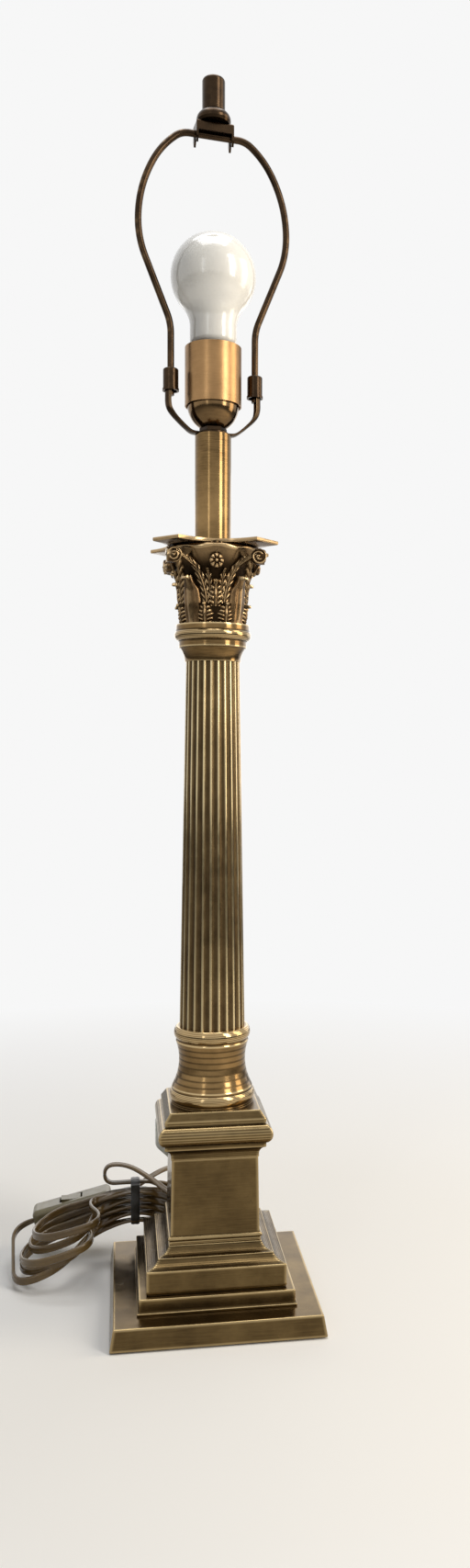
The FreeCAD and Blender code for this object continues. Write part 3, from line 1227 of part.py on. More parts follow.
def switch_shell(upper):
    """One half of the switch's case, with its half of the two screw posts."""
    high = SWITCH_HIGH / 2
    body = centred_box(SWITCH_LONG, SWITCH_WIDE, SWITCH_HIGH, -high)
    body = body.makeFillet(SWITCH_ROUND, body.Edges)
    body = body.cut(centred_box(SWITCH_LONG - 4 * SWITCH_WALL, SWITCH_WIDE - 2 * SWITCH_WALL,
                                SWITCH_HIGH - 2 * SWITCH_WALL, -high + SWITCH_WALL))
    skin = SWITCH_WALL / 2
    for x in (-SWITCH_SCREW_ASIDE, SWITCH_SCREW_ASIDE):
        body = body.fuse(cylinder(SWITCH_SCREW_RADIUS + SWITCH_WALL, -high + skin, high - skin, x))
    keep_low = SWITCH_SEAM if upper else -SWITCH_HIGH
    body = body.common(centred_box(SWITCH_LONG + 2, SWITCH_WIDE + 2, SWITCH_HIGH, keep_low))
    for x in (-SWITCH_SCREW_ASIDE, SWITCH_SCREW_ASIDE):
        shank = SWITCH_SCREW_RADIUS + THREAD_GAP
        body = body.cut(cylinder(shank, -high - 1, high - 2 * SWITCH_WALL, x))
        body = body.cut(cylinder(SWITCH_SCREW_HEAD + SEAT_GAP, -high - 1, -high + SWITCH_SCREW_SUNK, x))
    return body


def switch_top():
    """Upper half of the case, with the rocker's window and the two cheeks that carry its pin."""
    body = switch_shell(True)
    window = ROCKER_REACH + ROCKER_GAP
    cheek_in = ROCKER_HALF + ROCKER_GAP
    for y in (-cheek_in - CHEEK_THICK, cheek_in):
        body = body.fuse(Part.makeBox(CHEEK_WIDE, CHEEK_THICK, SWITCH_HIGH / 2 - CHEEK_LOW - 0.5,
                                      V(-CHEEK_WIDE / 2, y, CHEEK_LOW)))
    body = body.cut(centred_box(2 * window, 2 * cheek_in, SWITCH_HIGH, 1.0))
    reach = cheek_in + CHEEK_THICK + 0.5
    pin = Part.makeCylinder(ROCKER_PIN_RADIUS + 0.1, 2 * reach, V(0, -reach, ROCKER_PIVOT), BACK)
    return body.cut(pin)


def switch_rocker():
    """Rocker with its pivot pin, shown with the end that faces the lamp pressed in."""
    raised, pressed = ROCKER_PIVOT + ROCKER_RAISED, ROCKER_PIVOT + ROCKER_PRESSED
    foot, hip = ROCKER_PIVOT - ROCKER_FOOT, ROCKER_PIVOT - ROCKER_FOOT + 1.4
    outline = side_wire([(-ROCKER_LEFT, raised), (0, ROCKER_PIVOT + ROCKER_MIDDLE), (ROCKER_RIGHT, pressed),
                         (ROCKER_RIGHT, hip), (CHEEK_WIDE / 2, foot), (-CHEEK_WIDE / 2, foot),
                         (-ROCKER_LEFT, hip)])
    body = Part.Face(outline).extrude(BACK * (2 * ROCKER_HALF)).translated(V(0, -ROCKER_HALF, 0))
    reach = ROCKER_HALF + CHEEK_THICK
    pin = Part.makeCylinder(ROCKER_PIN_RADIUS, 2 * reach, V(0, -reach, ROCKER_PIVOT), BACK)
    return body.fuse(pin)


def switch_screws():
    foot = -SWITCH_HIGH / 2 + 0.4
    head_high = -SWITCH_HIGH / 2 + SWITCH_SCREW_SUNK
    return [cylinder(SWITCH_SCREW_HEAD, foot, head_high, x).fuse(
            cylinder(SWITCH_SCREW_RADIUS, head_high - 0.1, 4.5, x))
            for x in (-SWITCH_SCREW_ASIDE, SWITCH_SCREW_ASIDE)]


def switch_contacts():
    """Two sprung strips on the floor of the switch, one for each end of the cut wire."""
    floor = -SWITCH_HIGH / 2 + SWITCH_WALL
    strips = []
    half = CONTACT_WIDE / 2
    for side in (-1, 1):
        base = Part.makeBox(CONTACT_LONG, CONTACT_WIDE, CONTACT_HIGH,
                            V(side * CONTACT_LONG - CONTACT_LONG / 2, -half, floor))
        blade = Part.makeBox(CONTACT_WIDE, CONTACT_WIDE, CONTACT_BLADE,
                             V(side * CONTACT_WIDE - half, -half, floor + CONTACT_HIGH - CONTACT_BLADE))
        strips.append(base.fuse(blade))
    return strips


def plug_body():
    low = PLUG_FOOT + PLUG_SLEEVE
    half, deep = PLUG_WIDE / 2, PLUG_DEEP / 2
    foot, shoulder = PLUG_FOOT_WIDE / 2, low + PLUG_SHOULDER
    outline = [(-foot, low), (foot, low), (half, shoulder), (half, low + PLUG_HIGH),
               (-half, low + PLUG_HIGH), (-half, shoulder)]
    body = Part.Face(side_wire(outline)).extrude(BACK * PLUG_DEEP).translated(V(0, -deep, 0))
    body = body.makeFillet(PLUG_ROUND, [edge for edge in body.Edges if edge.BoundBox.YLength < 0.1])
    sleeve = Part.makeCone(CORD_DIAMETER / 2 + 0.9, 4.6, PLUG_SLEEVE + 0.5, V(0, 0, PLUG_FOOT), UP)
    return body.fuse(sleeve).translated(V(PLUG_X, PLUG_Y, 0))


def plug_pins():
    low = PLUG_FOOT + PLUG_SLEEVE + PLUG_HIGH
    pins = []
    for x in (-PIN_SPACE / 2, PIN_SPACE / 2):
        pin = cylinder(PIN_RADIUS, low, low + PIN_LONG, PLUG_X + x, PLUG_Y)
        tip = [edge for edge in pin.Edges if edge.BoundBox.ZMin > low + PIN_LONG - 0.1]
        pins.append(pin.makeFillet(0.6 * PIN_RADIUS, tip))
    return pins


def build():
    os.makedirs("parts", exist_ok=True)
    save("felt_pad", felt_pad())
    save("base_plate", base_plate())
    save("base_weight", base_weight())
    save("lower_step", lower_step())
    save("plinth_block", plinth_block())
    save("pedestal_die", pedestal_die())
    save("pedestal_cap", pedestal_cap())
    save("column_base", column_base())
    save("fluted_column", fluted_column())
    save("capital_collar", capital_collar())
    save("capital", capital())
    save("abacus_plate", abacus_plate())
    save("neck_tube", neck_tube())
    save("threaded_rod", threaded_rod())
    save("rod_spacers", *rod_spacers())
    washer, nut = base_fastening()
    save("base_washer", washer)
    save("base_nut", nut)
    save("harp_saddle", harp_turned(harp_saddle()))
    saddle_top = NECK_TOP + SADDLE_THICK
    save("saddle_locknut",
         hexagon(LOCKNUT_FLATS, saddle_top, saddle_top + LOCKNUT_THICK, ROD_RADIUS + THREAD_GAP))
    save("socket_cup", socket_cup())
    save("socket_sleeve", socket_sleeve())
    save("socket_insulator", socket_insulator())
    save("socket_liner", socket_liner())
    save("screw_shell", screw_shell())
    save("centre_contact", centre_contact())
    blocks, screws = terminals()
    save("terminal_blocks", *blocks)
    save("terminal_screws", *screws)
    save("inner_wires", *inner_wires())
    save("inner_cord", inner_cord())
    save("cord_bush", cord_bush())
    save("bulb_glass", bulb_glass())
    save("bulb_cap", bulb_cap())
    save("bulb_vitrite", bulb_vitrite())
    save("bulb_stem", bulb_stem())
    save("bulb_filament", bulb_filament())
    save("bulb_tip", bulb_tip())
    save("harp_wire", harp_turned(harp_wire()))
    save("ferrule_left", harp_turned(ferrule(-1)))
    save("ferrule_right", harp_turned(ferrule(1)))
    save("harp_bracket", harp_turned(harp_bracket()))
    save("harp_stud", harp_stud())
    save("cup_washer", cup_washer())
    save("finial_insert", finial_insert())
    save("finial", finial())
    save("cord_lead", cord_lead())
    save("cord_hank", cord_hank())
    save("cord_tail", cord_tail())
    save("cord_tie", cord_tie())
    save("switch_bottom", switch_placed(switch_shell(False)))
    save("switch_top", switch_placed(switch_top()))
    save("switch_rocker", switch_placed(switch_rocker()))
    save("switch_screws", *[switch_placed(screw) for screw in switch_screws()])
    save("switch_contacts", *[switch_placed(strip) for strip in switch_contacts()])
    save("plug_body", plug_body())
    save("plug_pins", *plug_pins())


build()
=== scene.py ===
from math import asin, atan2, copysign, cos, exp, hypot, pi, radians, sin, sqrt, tan

import bpy
from mathutils import Matrix, Vector


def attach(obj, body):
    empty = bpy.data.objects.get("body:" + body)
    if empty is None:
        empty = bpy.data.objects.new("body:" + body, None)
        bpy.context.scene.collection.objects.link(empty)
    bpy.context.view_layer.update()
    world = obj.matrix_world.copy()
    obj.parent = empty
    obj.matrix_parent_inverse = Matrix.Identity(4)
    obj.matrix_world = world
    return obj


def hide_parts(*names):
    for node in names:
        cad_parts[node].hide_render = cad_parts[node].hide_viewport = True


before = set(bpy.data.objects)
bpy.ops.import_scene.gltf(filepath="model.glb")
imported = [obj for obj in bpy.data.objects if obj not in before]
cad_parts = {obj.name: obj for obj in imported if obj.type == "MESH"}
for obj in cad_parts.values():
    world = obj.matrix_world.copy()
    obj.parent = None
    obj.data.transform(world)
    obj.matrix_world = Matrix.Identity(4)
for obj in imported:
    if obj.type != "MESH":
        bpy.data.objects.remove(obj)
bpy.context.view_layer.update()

MM = 0.001
UP, BACK, ACROSS = Vector((0, 0, 1)), Vector((0, 1, 0)), Vector((1, 0, 0))


def placed(name, data):
    """New object of the scene."""
    made = bpy.data.objects.new(name, data)
    bpy.context.scene.collection.objects.link(made)
    return made


# ---- camera: angles in degrees, place in mm, lens and shifts in pixels of the photo
CAMERA_ANGLES = 9.17, -2.01, 0.26
CAMERA_PLACE = Vector((-66.8, -843, 400.1))
PHOTO_HEIGHT, FOCAL_LENGTH, SHIFT_RIGHT, SHIFT_UP = 1707, 1281, -79.4, 4.8
SENSOR = 36


def set_camera():
    yaw, pitch, roll = (radians(a) for a in CAMERA_ANGLES)
    flat = Vector((sin(yaw), cos(yaw), 0))
    side = Vector((cos(yaw), -sin(yaw), 0))
    look = flat * cos(pitch) + UP * sin(pitch)
    head = UP * cos(pitch) - flat * sin(pitch)
    right = side * cos(roll) + head * sin(roll)
    top = head * cos(roll) - side * sin(roll)
    data = bpy.data.cameras.new("view_camera")
    data.sensor_fit = "AUTO"
    data.sensor_width = SENSOR
    data.lens = SENSOR * FOCAL_LENGTH / PHOTO_HEIGHT
    data.shift_x, data.shift_y = SHIFT_RIGHT / PHOTO_HEIGHT, SHIFT_UP / PHOTO_HEIGHT
    data.clip_start, data.clip_end = 0.05, 50
    camera = placed("view_camera", data)
    matrix = Matrix((right, top, -look)).transposed().to_4x4()
    matrix.translation = CAMERA_PLACE * MM
    camera.matrix_world = matrix
    bpy.context.scene.camera = camera


# ---- node helpers
class Nodes:
    """Builds a material's node tree."""

    def __init__(self, name):
        self.material = bpy.data.materials.new(name)
        self.material.use_nodes = True
        self.tree = self.material.node_tree
        self.shader = self.tree.nodes["Principled BSDF"]
        self.out = self.tree.nodes["Material Output"]
        self.place = self.node("TexCoord").outputs["Object"]

    def node(self, kind, **settings):
        made = self.tree.nodes.new("ShaderNode" + kind)
        for key, value in settings.items():
            setattr(made, key, value)
        return made

    def feed(self, socket, value):
        """Sets a socket to a number or a colour, or links an output to it."""
        if isinstance(value, (int, float)):
            socket.default_value = value
        elif isinstance(value, tuple):
            socket.default_value = (*value, 1)
        else:
            self.tree.links.new(value, socket)

    def fill(self, node, inputs):
        """Feeds a node's inputs by name or number, but for those that are None."""
        for key, value in inputs.items():
            if value is not None:
                self.feed(node.inputs[key], value)
        return node

    def scaled(self, scale):
        mapping = self.fill(self.node("Mapping"), {"Vector": self.place})
        mapping.inputs["Scale"].default_value = scale
        return mapping.outputs["Vector"]

    def noise(self, scale, detail=3, roughness=0.55, vector=None):
        return self.fill(self.node("TexNoise"), {
            "Scale": scale, "Detail": detail, "Roughness": roughness, "Vector": vector or self.place,
        }).outputs["Fac"]

    def ramp(self, source, *stops):
        made = self.node("ValToRGB")
        elements = made.color_ramp.elements
        while len(elements) > 1:
            elements.remove(elements[-1])
        for number, (at, colour) in enumerate(stops):
            element = elements[0] if number == 0 else elements.new(at)
            element.position = at
            element.color = (*colour, 1)
        self.feed(made.inputs["Fac"], source)
        return made.outputs["Color"]

    def grey(self, source, low, high, start=0, end=1):
        """Maps a value's range from start to end onto low to high."""
        return self.fill(self.node("MapRange"), {
            "From Min": start, "From Max": end, "To Min": low, "To Max": high, "Value": source,
        }).outputs["Result"]

    def mix(self, share, a, b):
        made = self.node("Mix", data_type="RGBA")
        for name, kind, value in (("Factor", "VALUE", share), ("A", "RGBA", a), ("B", "RGBA", b)):
            self.feed(next(s for s in made.inputs if s.name == name and s.type == kind), value)
        return next(s for s in made.outputs if s.type == "RGBA")

    def attribute(self, name):
        return self.node("Attribute", attribute_name=name).outputs["Fac"]

    def math(self, operation, a, b):
        return self.fill(self.node("Math", operation=operation), {0: a, 1: b}).outputs["Value"]

    def bump(self, source, strength, distance, normal=None):
        return self.fill(self.node("Bump"), {
            "Strength": strength, "Distance": distance, "Height": source, "Normal": normal,
        }).outputs["Normal"]

    def finish(self, colour, roughness=None, normal=None, **settings):
        inputs = {"Base Color": colour, "Roughness": roughness, "Normal": normal}
        inputs.update((key.replace("_", " "), value) for key, value in settings.items())
        self.fill(self.shader, inputs)
        return self.material


# ---- materials
NOISE_LOW, NOISE_HIGH = 0.3, 0.7
BRUSH_DEPTH, GRAIN_DEPTH, MOULD_DEPTH, FELT_DEPTH = 0.00006, 0.0001, 0.00005, 0.0004
# Marked hollows darken by the first factor of the dark tone, for patina and painted shade; they also turn
# rougher, and marked edges smoother.
GRIME_AND_SHADE_TONE, GRIME_ROUGHNESS, POLISH = 0.16, 0.25, 0.06


def brass(name, light, mid, dark, rough=(0.22, 0.42), brush=(1, 1, 1), brush_scale=900, cloud=28,
          brush_bump=0.12, hollow=0.85, bright=None, speckle=0.5, grain=0.1):
    """Lacquered metal, cloudy and brushed; marked hollows darken with patina and painted shade, and marked
    edges lighten with wear and painted highlights.
    """
    n = Nodes(name)
    clouds = n.noise(cloud, 5, 0.6)
    tone = n.ramp(clouds, (NOISE_LOW, dark), (0.5, mid), (0.72, light))
    lines = n.noise(brush_scale, 2, 0.5, n.scaled(brush))
    tone = n.mix(n.grey(lines, 0, 0.35, 0.35, 0.65), tone, light)
    specks = n.noise(420, 3, 0.7)
    tone = n.mix(n.grey(specks, 0, speckle, 0.6, 0.74), tone, dark)
    # Painted highlight with wear: the edge mark lightens edges and crests towards the bright tone, in
    # rubbed patches.
    worn = n.attribute("worn")
    rub_and_sheen = n.grey(clouds, 0.75, 1, NOISE_LOW, NOISE_HIGH)
    tone = n.mix(n.math("MULTIPLY", worn, rub_and_sheen), tone, bright or light)
    # Painted shade with patina: the hollow mark darkens hollows, creases and recesses towards a near-black
    # tone.
    deep = n.attribute("deep")
    grime_and_shade_amount = n.grey(specks, hollow, min(1, hollow + 0.1), NOISE_LOW, NOISE_HIGH)
    tone = n.mix(n.math("MULTIPLY", deep, grime_and_shade_amount), tone, tuple(c * GRIME_AND_SHADE_TONE for c in dark))
    roughness = n.grey(n.noise(cloud * 3, 4, 0.65), rough[0], rough[1], NOISE_LOW, NOISE_HIGH)
    roughness = n.math("ADD", roughness, n.math("MULTIPLY", deep, GRIME_ROUGHNESS))
    roughness = n.math("SUBTRACT", roughness, n.math("MULTIPLY", worn, POLISH))
    normal = n.bump(lines, brush_bump, BRUSH_DEPTH)
    normal = n.bump(specks, grain, GRAIN_DEPTH, normal)
    return n.finish(tone, roughness, normal, Metallic=1)


def moulding(name, light, dark, rough=(0.28, 0.45), scale=60, grain=1400, **settings):
    """Moulded plastic: slow change of tone and a very fine grain."""
    n = Nodes(name)
    clouds = n.noise(scale, 4, 0.6)
    fine = n.noise(grain, 2, 0.6)
    tone = n.ramp(clouds, (0.32, dark), (0.68, light))
    tone = n.mix(n.grey(fine, 0, 0.25, 0.4, NOISE_HIGH), tone, dark)
    roughness = n.grey(n.noise(scale * 4), rough[0], rough[1], NOISE_LOW, NOISE_HIGH)
    return n.finish(tone, roughness, n.bump(fine, 0.15, MOULD_DEPTH), **settings)


def felt(name):
    """Dark green wool with short fibres."""
    n = Nodes(name)
    fibres = n.noise(1500, 4, 0.8, n.scaled((1, 1, 0.4)))
    tone = n.ramp(fibres, (NOISE_LOW, (0.015, 0.035, 0.018)), (NOISE_HIGH, (0.05, 0.1, 0.055)))
    return n.finish(tone, n.grey(fibres, 0.85, 1), n.bump(fibres, 0.6, FELT_DEPTH))


def opal(name):
    """Smooth opal glass: milky, with painted shade where it turns away, under a glossy skin."""
    n = Nodes(name)
    clouds = n.noise(22)
    tone = n.ramp(clouds, (NOISE_LOW, (0.8, 0.785, 0.745)), (NOISE_HIGH, (0.86, 0.845, 0.8)))
    # Painted shade: the globe darkens towards grey where its surface turns away from the view.
    weight = n.fill(n.node("LayerWeight"), {"Blend": 0.32})
    tone = n.mix(n.grey(weight.outputs["Facing"], 0, 0.62, 0.55, 1), tone, (0.62, 0.61, 0.59))
    return n.finish(tone, n.grey(clouds, 0.2, 0.28), Coat_Weight=1, Coat_Roughness=0.09)


def make_materials():
    """Every look by its short name; brass has a light, middle and dark tone."""
    return {
        "satin": brass("satin_brass_look", (0.165, 0.112, 0.048), (0.1, 0.066, 0.028),
            (0.058, 0.037, 0.016), rough=(0.15, 0.28), brush=(1, 1, 22), brush_scale=60, brush_bump=0.06,
            hollow=0.5, bright=(0.52, 0.39, 0.2), speckle=0.06, grain=0.015),
        "turned": brass("turned_brass_look", (0.31, 0.195, 0.082), (0.175, 0.108, 0.044),
            (0.082, 0.049, 0.02), rough=(0.1, 0.2), brush=(1, 1, 16), brush_scale=90, brush_bump=0.03,
            bright=(0.66, 0.5, 0.27), speckle=0.15, grain=0.01),
        "fluted": brass("fluted_brass_look", (0.26, 0.175, 0.078), (0.155, 0.1, 0.045),
            (0.074, 0.047, 0.021), rough=(0.1, 0.22), brush=(9, 9, 1), brush_scale=70, brush_bump=0.04,
            hollow=0.55, bright=(0.72, 0.59, 0.34), speckle=0.25, grain=0.015),
        "cast": brass("cast_brass_look", (0.23, 0.142, 0.064), (0.12, 0.071, 0.033), (0.05, 0.028, 0.015),
            rough=(0.14, 0.3), brush_scale=500, cloud=60, hollow=0.92, bright=(0.66, 0.47, 0.25)),
        "bronze": brass("dark_bronze_look", (0.07, 0.043, 0.023), (0.038, 0.024, 0.014),
            (0.023, 0.015, 0.01), rough=(0.2, 0.3), brush_scale=200, brush_bump=0.005, cloud=30,
            bright=(0.34, 0.22, 0.11), speckle=0.08, grain=0.004),
        "holder": brass("holder_brass_look", (0.4, 0.235, 0.105), (0.295, 0.172, 0.076),
            (0.2, 0.115, 0.05), rough=(0.28, 0.36), brush=(1, 1, 24), brush_scale=110, brush_bump=0.05,
            bright=(0.85, 0.62, 0.36), speckle=0.08, grain=0.03),
        "cup": brass("holder_cup_look", (0.24, 0.15, 0.07), (0.14, 0.086, 0.039), (0.075, 0.044, 0.021),
            rough=(0.1, 0.2), brush=(1, 1, 18), brush_scale=110, bright=(0.6, 0.42, 0.22), speckle=0.1,
            grain=0.02),
        "contact": brass("bare_brass_look", (0.78, 0.62, 0.32), (0.7, 0.54, 0.26), (0.55, 0.41, 0.19),
            rough=(0.16, 0.3)),
        "steel": brass("zinc_steel_look", (0.66, 0.66, 0.64), (0.56, 0.56, 0.55), (0.42, 0.42, 0.42),
            rough=(0.26, 0.42)),
        "iron": brass("cast_iron_look", (0.16, 0.155, 0.15), (0.11, 0.11, 0.105), (0.06, 0.06, 0.06),
            rough=(0.5, 0.7), cloud=120),
        "cord": moulding("gold_cord_look", (0.165, 0.105, 0.037), (0.09, 0.055, 0.02), rough=(0.16, 0.27),
            scale=30, Coat_Weight=0.12, Coat_Roughness=0.12, Specular_IOR_Level=0.4),
        "switch": moulding("gold_plastic_look", (0.13, 0.105, 0.038), (0.085, 0.068, 0.025),
            rough=(0.3, 0.42), scale=45, Coat_Weight=0.25, Coat_Roughness=0.15),
        "black": moulding("black_moulding_look", (0.035, 0.032, 0.03), (0.015, 0.014, 0.013),
            rough=(0.35, 0.5)),
        "tie": moulding("black_tie_look", (0.03, 0.03, 0.03), (0.01, 0.01, 0.01), rough=(0.32, 0.45),
            scale=200),
        "plug": moulding("milky_plug_look", (0.62, 0.63, 0.58), (0.48, 0.49, 0.45), rough=(0.22, 0.34),
            scale=80, Coat_Weight=0.3),
        "felt": felt("wool_felt_look"),
        "opal": opal("opal_glass_look"),
        "glass": moulding("clear_stem_look", (0.95, 0.96, 0.95), (0.9, 0.92, 0.92), rough=(0.02, 0.06),
            Transmission_Weight=0.95, IOR=1.5),
        "wire": brass("drawn_wire_look", (0.45, 0.44, 0.43), (0.38, 0.37, 0.36), (0.28, 0.28, 0.28)),
    }


# ---- mesh helpers
def new_mesh(name, verts, faces, look, nodes, slot, body="root", edge_angle=None, **marks):
    """Mesh from millimetres, with named marks per point, for CAD nodes of a body."""
    mesh = bpy.data.meshes.new(name)
    mesh.from_pydata([tuple(c * MM for c in v) for v in verts], [], faces)
    mesh.update()
    mesh.polygons.foreach_set("use_smooth", [True] * len(mesh.polygons))
    for key, values in marks.items():
        mesh.attributes.new(key, "FLOAT", "POINT").data.foreach_set("value", values)
    mesh.materials.append(LOOK[look])
    piece = placed(name, mesh)
    if edge_angle is not None:
        mesh.set_sharp_from_angle(angle=radians(edge_angle))
    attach(piece, body)
    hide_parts(*nodes)


def grid_faces(rows, columns, wrap=True):
    faces = []
    for i in range(rows - 1):
        for j in range(columns if wrap else columns - 1):
            k, here, above = (j + 1) % columns, i * columns, (i + 1) * columns
            faces.append((here + j, here + k, above + k, above + j))
    return faces


def circle(count):
    """Angles of evenly spaced points round a circle."""
    return [2 * pi * j / count for j in range(count)]


def spun(x, y, angle):
    """A point of the plan, turned about the origin."""
    return x * cos(angle) - y * sin(angle), x * sin(angle) + y * cos(angle)


def signed_power(value, power):
    """Power of a value's size, with its sign."""
    return copysign(abs(value) ** power, value)


def ease(a, b, x):
    """Smooth step from 0 at a to 1 at b."""
    t = max(0, min(1, (x - a) / (b - a)))
    return t * t * (3 - 2 * t)


def softened(points, radius, steps=4):
    """Outline with each corner rounded, as points (r, z, edge mark, hollow mark): convex corners get the
    edge mark for wear and painted highlight, hollow ones the hollow mark for grime and painted shade.
    """
    straight, most_reach, margin, least_margin = 0.09, 0.45, 0.35, 0.2
    line = [(*points[0], 0, 0)]
    for before, here, after in zip(points, points[1:], points[2:]):
        a, p, b = Vector(before), Vector(here), Vector(after)
        into, away = p - a, b - p
        turn = into.angle_signed(away, 0)
        if abs(turn) < straight:
            line.append((p.x, p.y, 0, 0))
            continue
        reach = min(radius * tan(abs(turn) / 2), into.length * most_reach, away.length * most_reach)
        start, end = p - into.normalized() * reach, p + away.normalized() * reach
        room_before, room_after = (min(1, margin * (side.length - reach)) for side in (into, away))
        if room_before > least_margin:
            line.append((*(start - into.normalized() * room_before), 0, 0))
        marks = (1, 0) if turn < 0 else (0, 1)
        for i in range(steps + 1):
            t = i / steps
            line.append((*(start * (1 - t) ** 2 + p * 2 * t * (1 - t) + end * t ** 2), *marks))
        if room_after > least_margin:
            line.append((*(end + away.normalized() * room_after), 0, 0))
    line.append((*points[-1], 0, 0))
    return line


def arc_points(start, middle, end, count=8):
    """Points of the arc through three points of an outline."""
    a, b, c = Vector(start), Vector(middle), Vector(end)
    d = 2 * (a.x * (b.y - c.y) + b.x * (c.y - a.y) + c.x * (a.y - b.y))
    terms = [(p.length_squared, q, r) for p, q, r in ((a, b, c), (b, c, a), (c, a, b))]
    centre = Vector((sum(s * (q.y - r.y) for s, q, r in terms) / d,
                     sum(s * (r.x - q.x) for s, q, r in terms) / d))
    spoke = a - centre
    whole = spoke.angle_signed(b - centre) + (b - centre).angle_signed(c - centre)
    out = []
    for i in range(count + 1):
        x, y = spun(spoke.x, spoke.y, -whole * i / count)
        out.append((centre.x + x, centre.y + y))
    return out


def outline(first, *items):
    """Outline from points (r, z) and arcs (middle, end)."""
    points = [first]
    for item in items:
        if isinstance(item[0], tuple):
            points += arc_points(points[-1], *item)[1:]
        else:
            points.append(item)
    return points


class Relief:
    """Collects grids of points with their marks, first the closed rows it is made with."""

    def __init__(self, *rows):
        self.verts, self.faces, self.worn, self.deep = [], [], [], []
        if rows:
            self.grid(rows, wrap=True)

    def grid(self, rows, wrap=False):
        """Adds rows of (point, edge mark for wear and painted highlight, hollow mark for grime and painted
        shade).
        """
        base, width = len(self.verts), len(rows[0])
        for row in rows:
            for point, worn, deep in row:
                self.verts.append(tuple(point))
                self.worn.append(worn)
                self.deep.append(deep)
        self.faces += [tuple(base + i for i in face) for face in grid_faces(len(rows), width, wrap)]

    def disc(self, centre, facing, aside, radius, thick, height):
        """Round boss; height(share, angle) gives the lift and marks of its face."""
        spokes, rings, hub = 64, 15, 14.5
        wheel = [(aside * cos(a) + UP * sin(a), a) for a in circle(spokes)]
        # The boss's sunken rim takes the hollow mark: grime and painted shade.
        rows = [[(centre + spoke * radius - facing * thick, 0, 0.9) for spoke, _ in wheel]]
        for i in range(rings):
            share = 1 - i / hub
            row = []
            for spoke, a in wheel:
                lift, worn, deep = height(share, a)
                row.append((centre + spoke * radius * share + facing * lift, worn, deep))
            rows.append(row)
        self.grid(rows, wrap=True)

    def mesh(self, name, look, nodes, slot, **options):
        new_mesh(name, self.verts, self.faces, look, nodes, slot, worn=self.worn, deep=self.deep, **options)


def ring(radius, z, count):
    """Points round the lamp's axis."""
    return [(radius * cos(a), radius * sin(a), z) for a in circle(count)]


def turned(name, node, radius, *items):
    """Polished piece turned about the lamp's axis, its corners rounded."""
    segments, hollow_mark = 128, 0.8
    # Convex corners lighten with wear and painted highlight, hollow corners darken with grime and painted
    # shade.
    rows = [[(point, edge, hollow * hollow_mark) for point in ring(r, z, segments)]
            for r, z, edge, hollow in softened(outline(*items), radius)]
    Relief(*rows).mesh(name, "turned", [node], "polished_brass")


CORNER, CORNER_STEPS = 0.8, 4
NEAR_CORNER, ON_FACE = (0, 0.25, 0.7, 1.6, 3.5), (-0.6, -0.2, 0.2, 0.6)
# Strengths of the edge mark (wear with painted highlight) and of the hollow mark (grime with painted
# shade).
ROUND_WEAR_HIGHLIGHT, EDGE_WEAR_HIGHLIGHT, HOLLOW_WEAR_HIGHLIGHT, WEAR_HIGHLIGHT_REACH, HOLLOW_MARK = 0.62, 0.6, 0.15, 1.3, 0.75


def square_ring(half):
    """Points (x, y, wear and highlight) of a square's front face and one rounded corner."""
    flat = half - CORNER
    steps = [-flat + p for p in NEAR_CORNER]
    steps += [flat * t for t in ON_FACE]
    steps += [flat - p for p in reversed(NEAR_CORNER)]
    points = [(s, -half, max(0, 1 - (flat - abs(s)) / WEAR_HIGHLIGHT_REACH)) for s in steps]
    for i in range(1, CORNER_STEPS):
        angle = -pi / 2 + pi / 2 * i / CORNER_STEPS
        points.append((flat + CORNER * cos(angle), -flat + CORNER * sin(angle), 1))
    return points


def squared(name, node, radius, *items):
    """Square moulding of satin brass with rounded corners, its arrises lightened with wear and painted
    highlight and its hollows darkened with grime and painted shade.
    """
    least_face, level_slope = 0.8, 0.2
    line = softened(outline(*items), radius)
    rows = []
    for number, (half, z, edge, hollow) in enumerate(line):
        neighbours = [line[k] for k in (number - 1, number + 1) if 0 <= k < len(line)]
        steps = [(abs(q[0] - half), abs(q[1] - z)) for q in neighbours]
        level = any(rise < level_slope * run and run > least_face for run, rise in steps)
        # Arrises lighten with wear and painted highlight, but not beside a level face; hollows take grime
        # and painted shade.
        arris = 0 if level else EDGE_WEAR_HIGHLIGHT if hollow < 0.5 else HOLLOW_WEAR_HIGHLIGHT
        rows.append([((*spun(x, y, pi / 2 * side), z), max(edge * ROUND_WEAR_HIGHLIGHT, near * arris),
                      hollow * HOLLOW_MARK) for side in range(4) for x, y, near in square_ring(half)])
    Relief(*rows).mesh(name, "satin", [node], "satin_brass")


def dress(look, *names):
    """Gives CAD nodes a look."""
    material = LOOK[look]
    for name in names:
        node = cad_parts[name]
        if not node.material_slots:
            node.data.materials.append(material)
        for slot in node.material_slots:
            slot.material = material


# ---- square base and turned pieces: outlines as (half width or radius, height)
CORE = 8
PLATE_LOW, PLATE_TOP, STEP_TOP, PLINTH_TOP = 1, 15.5, 26.4, 53.4
DIE_LOW, DIE_TOP, CAP_TOP = 53.5, 112.4, 145.9
FOOT_LOW, FOOT_TOP, COLLAR_LOW, COLLAR_TOP = 146, 199.8, 460.3, 486.4


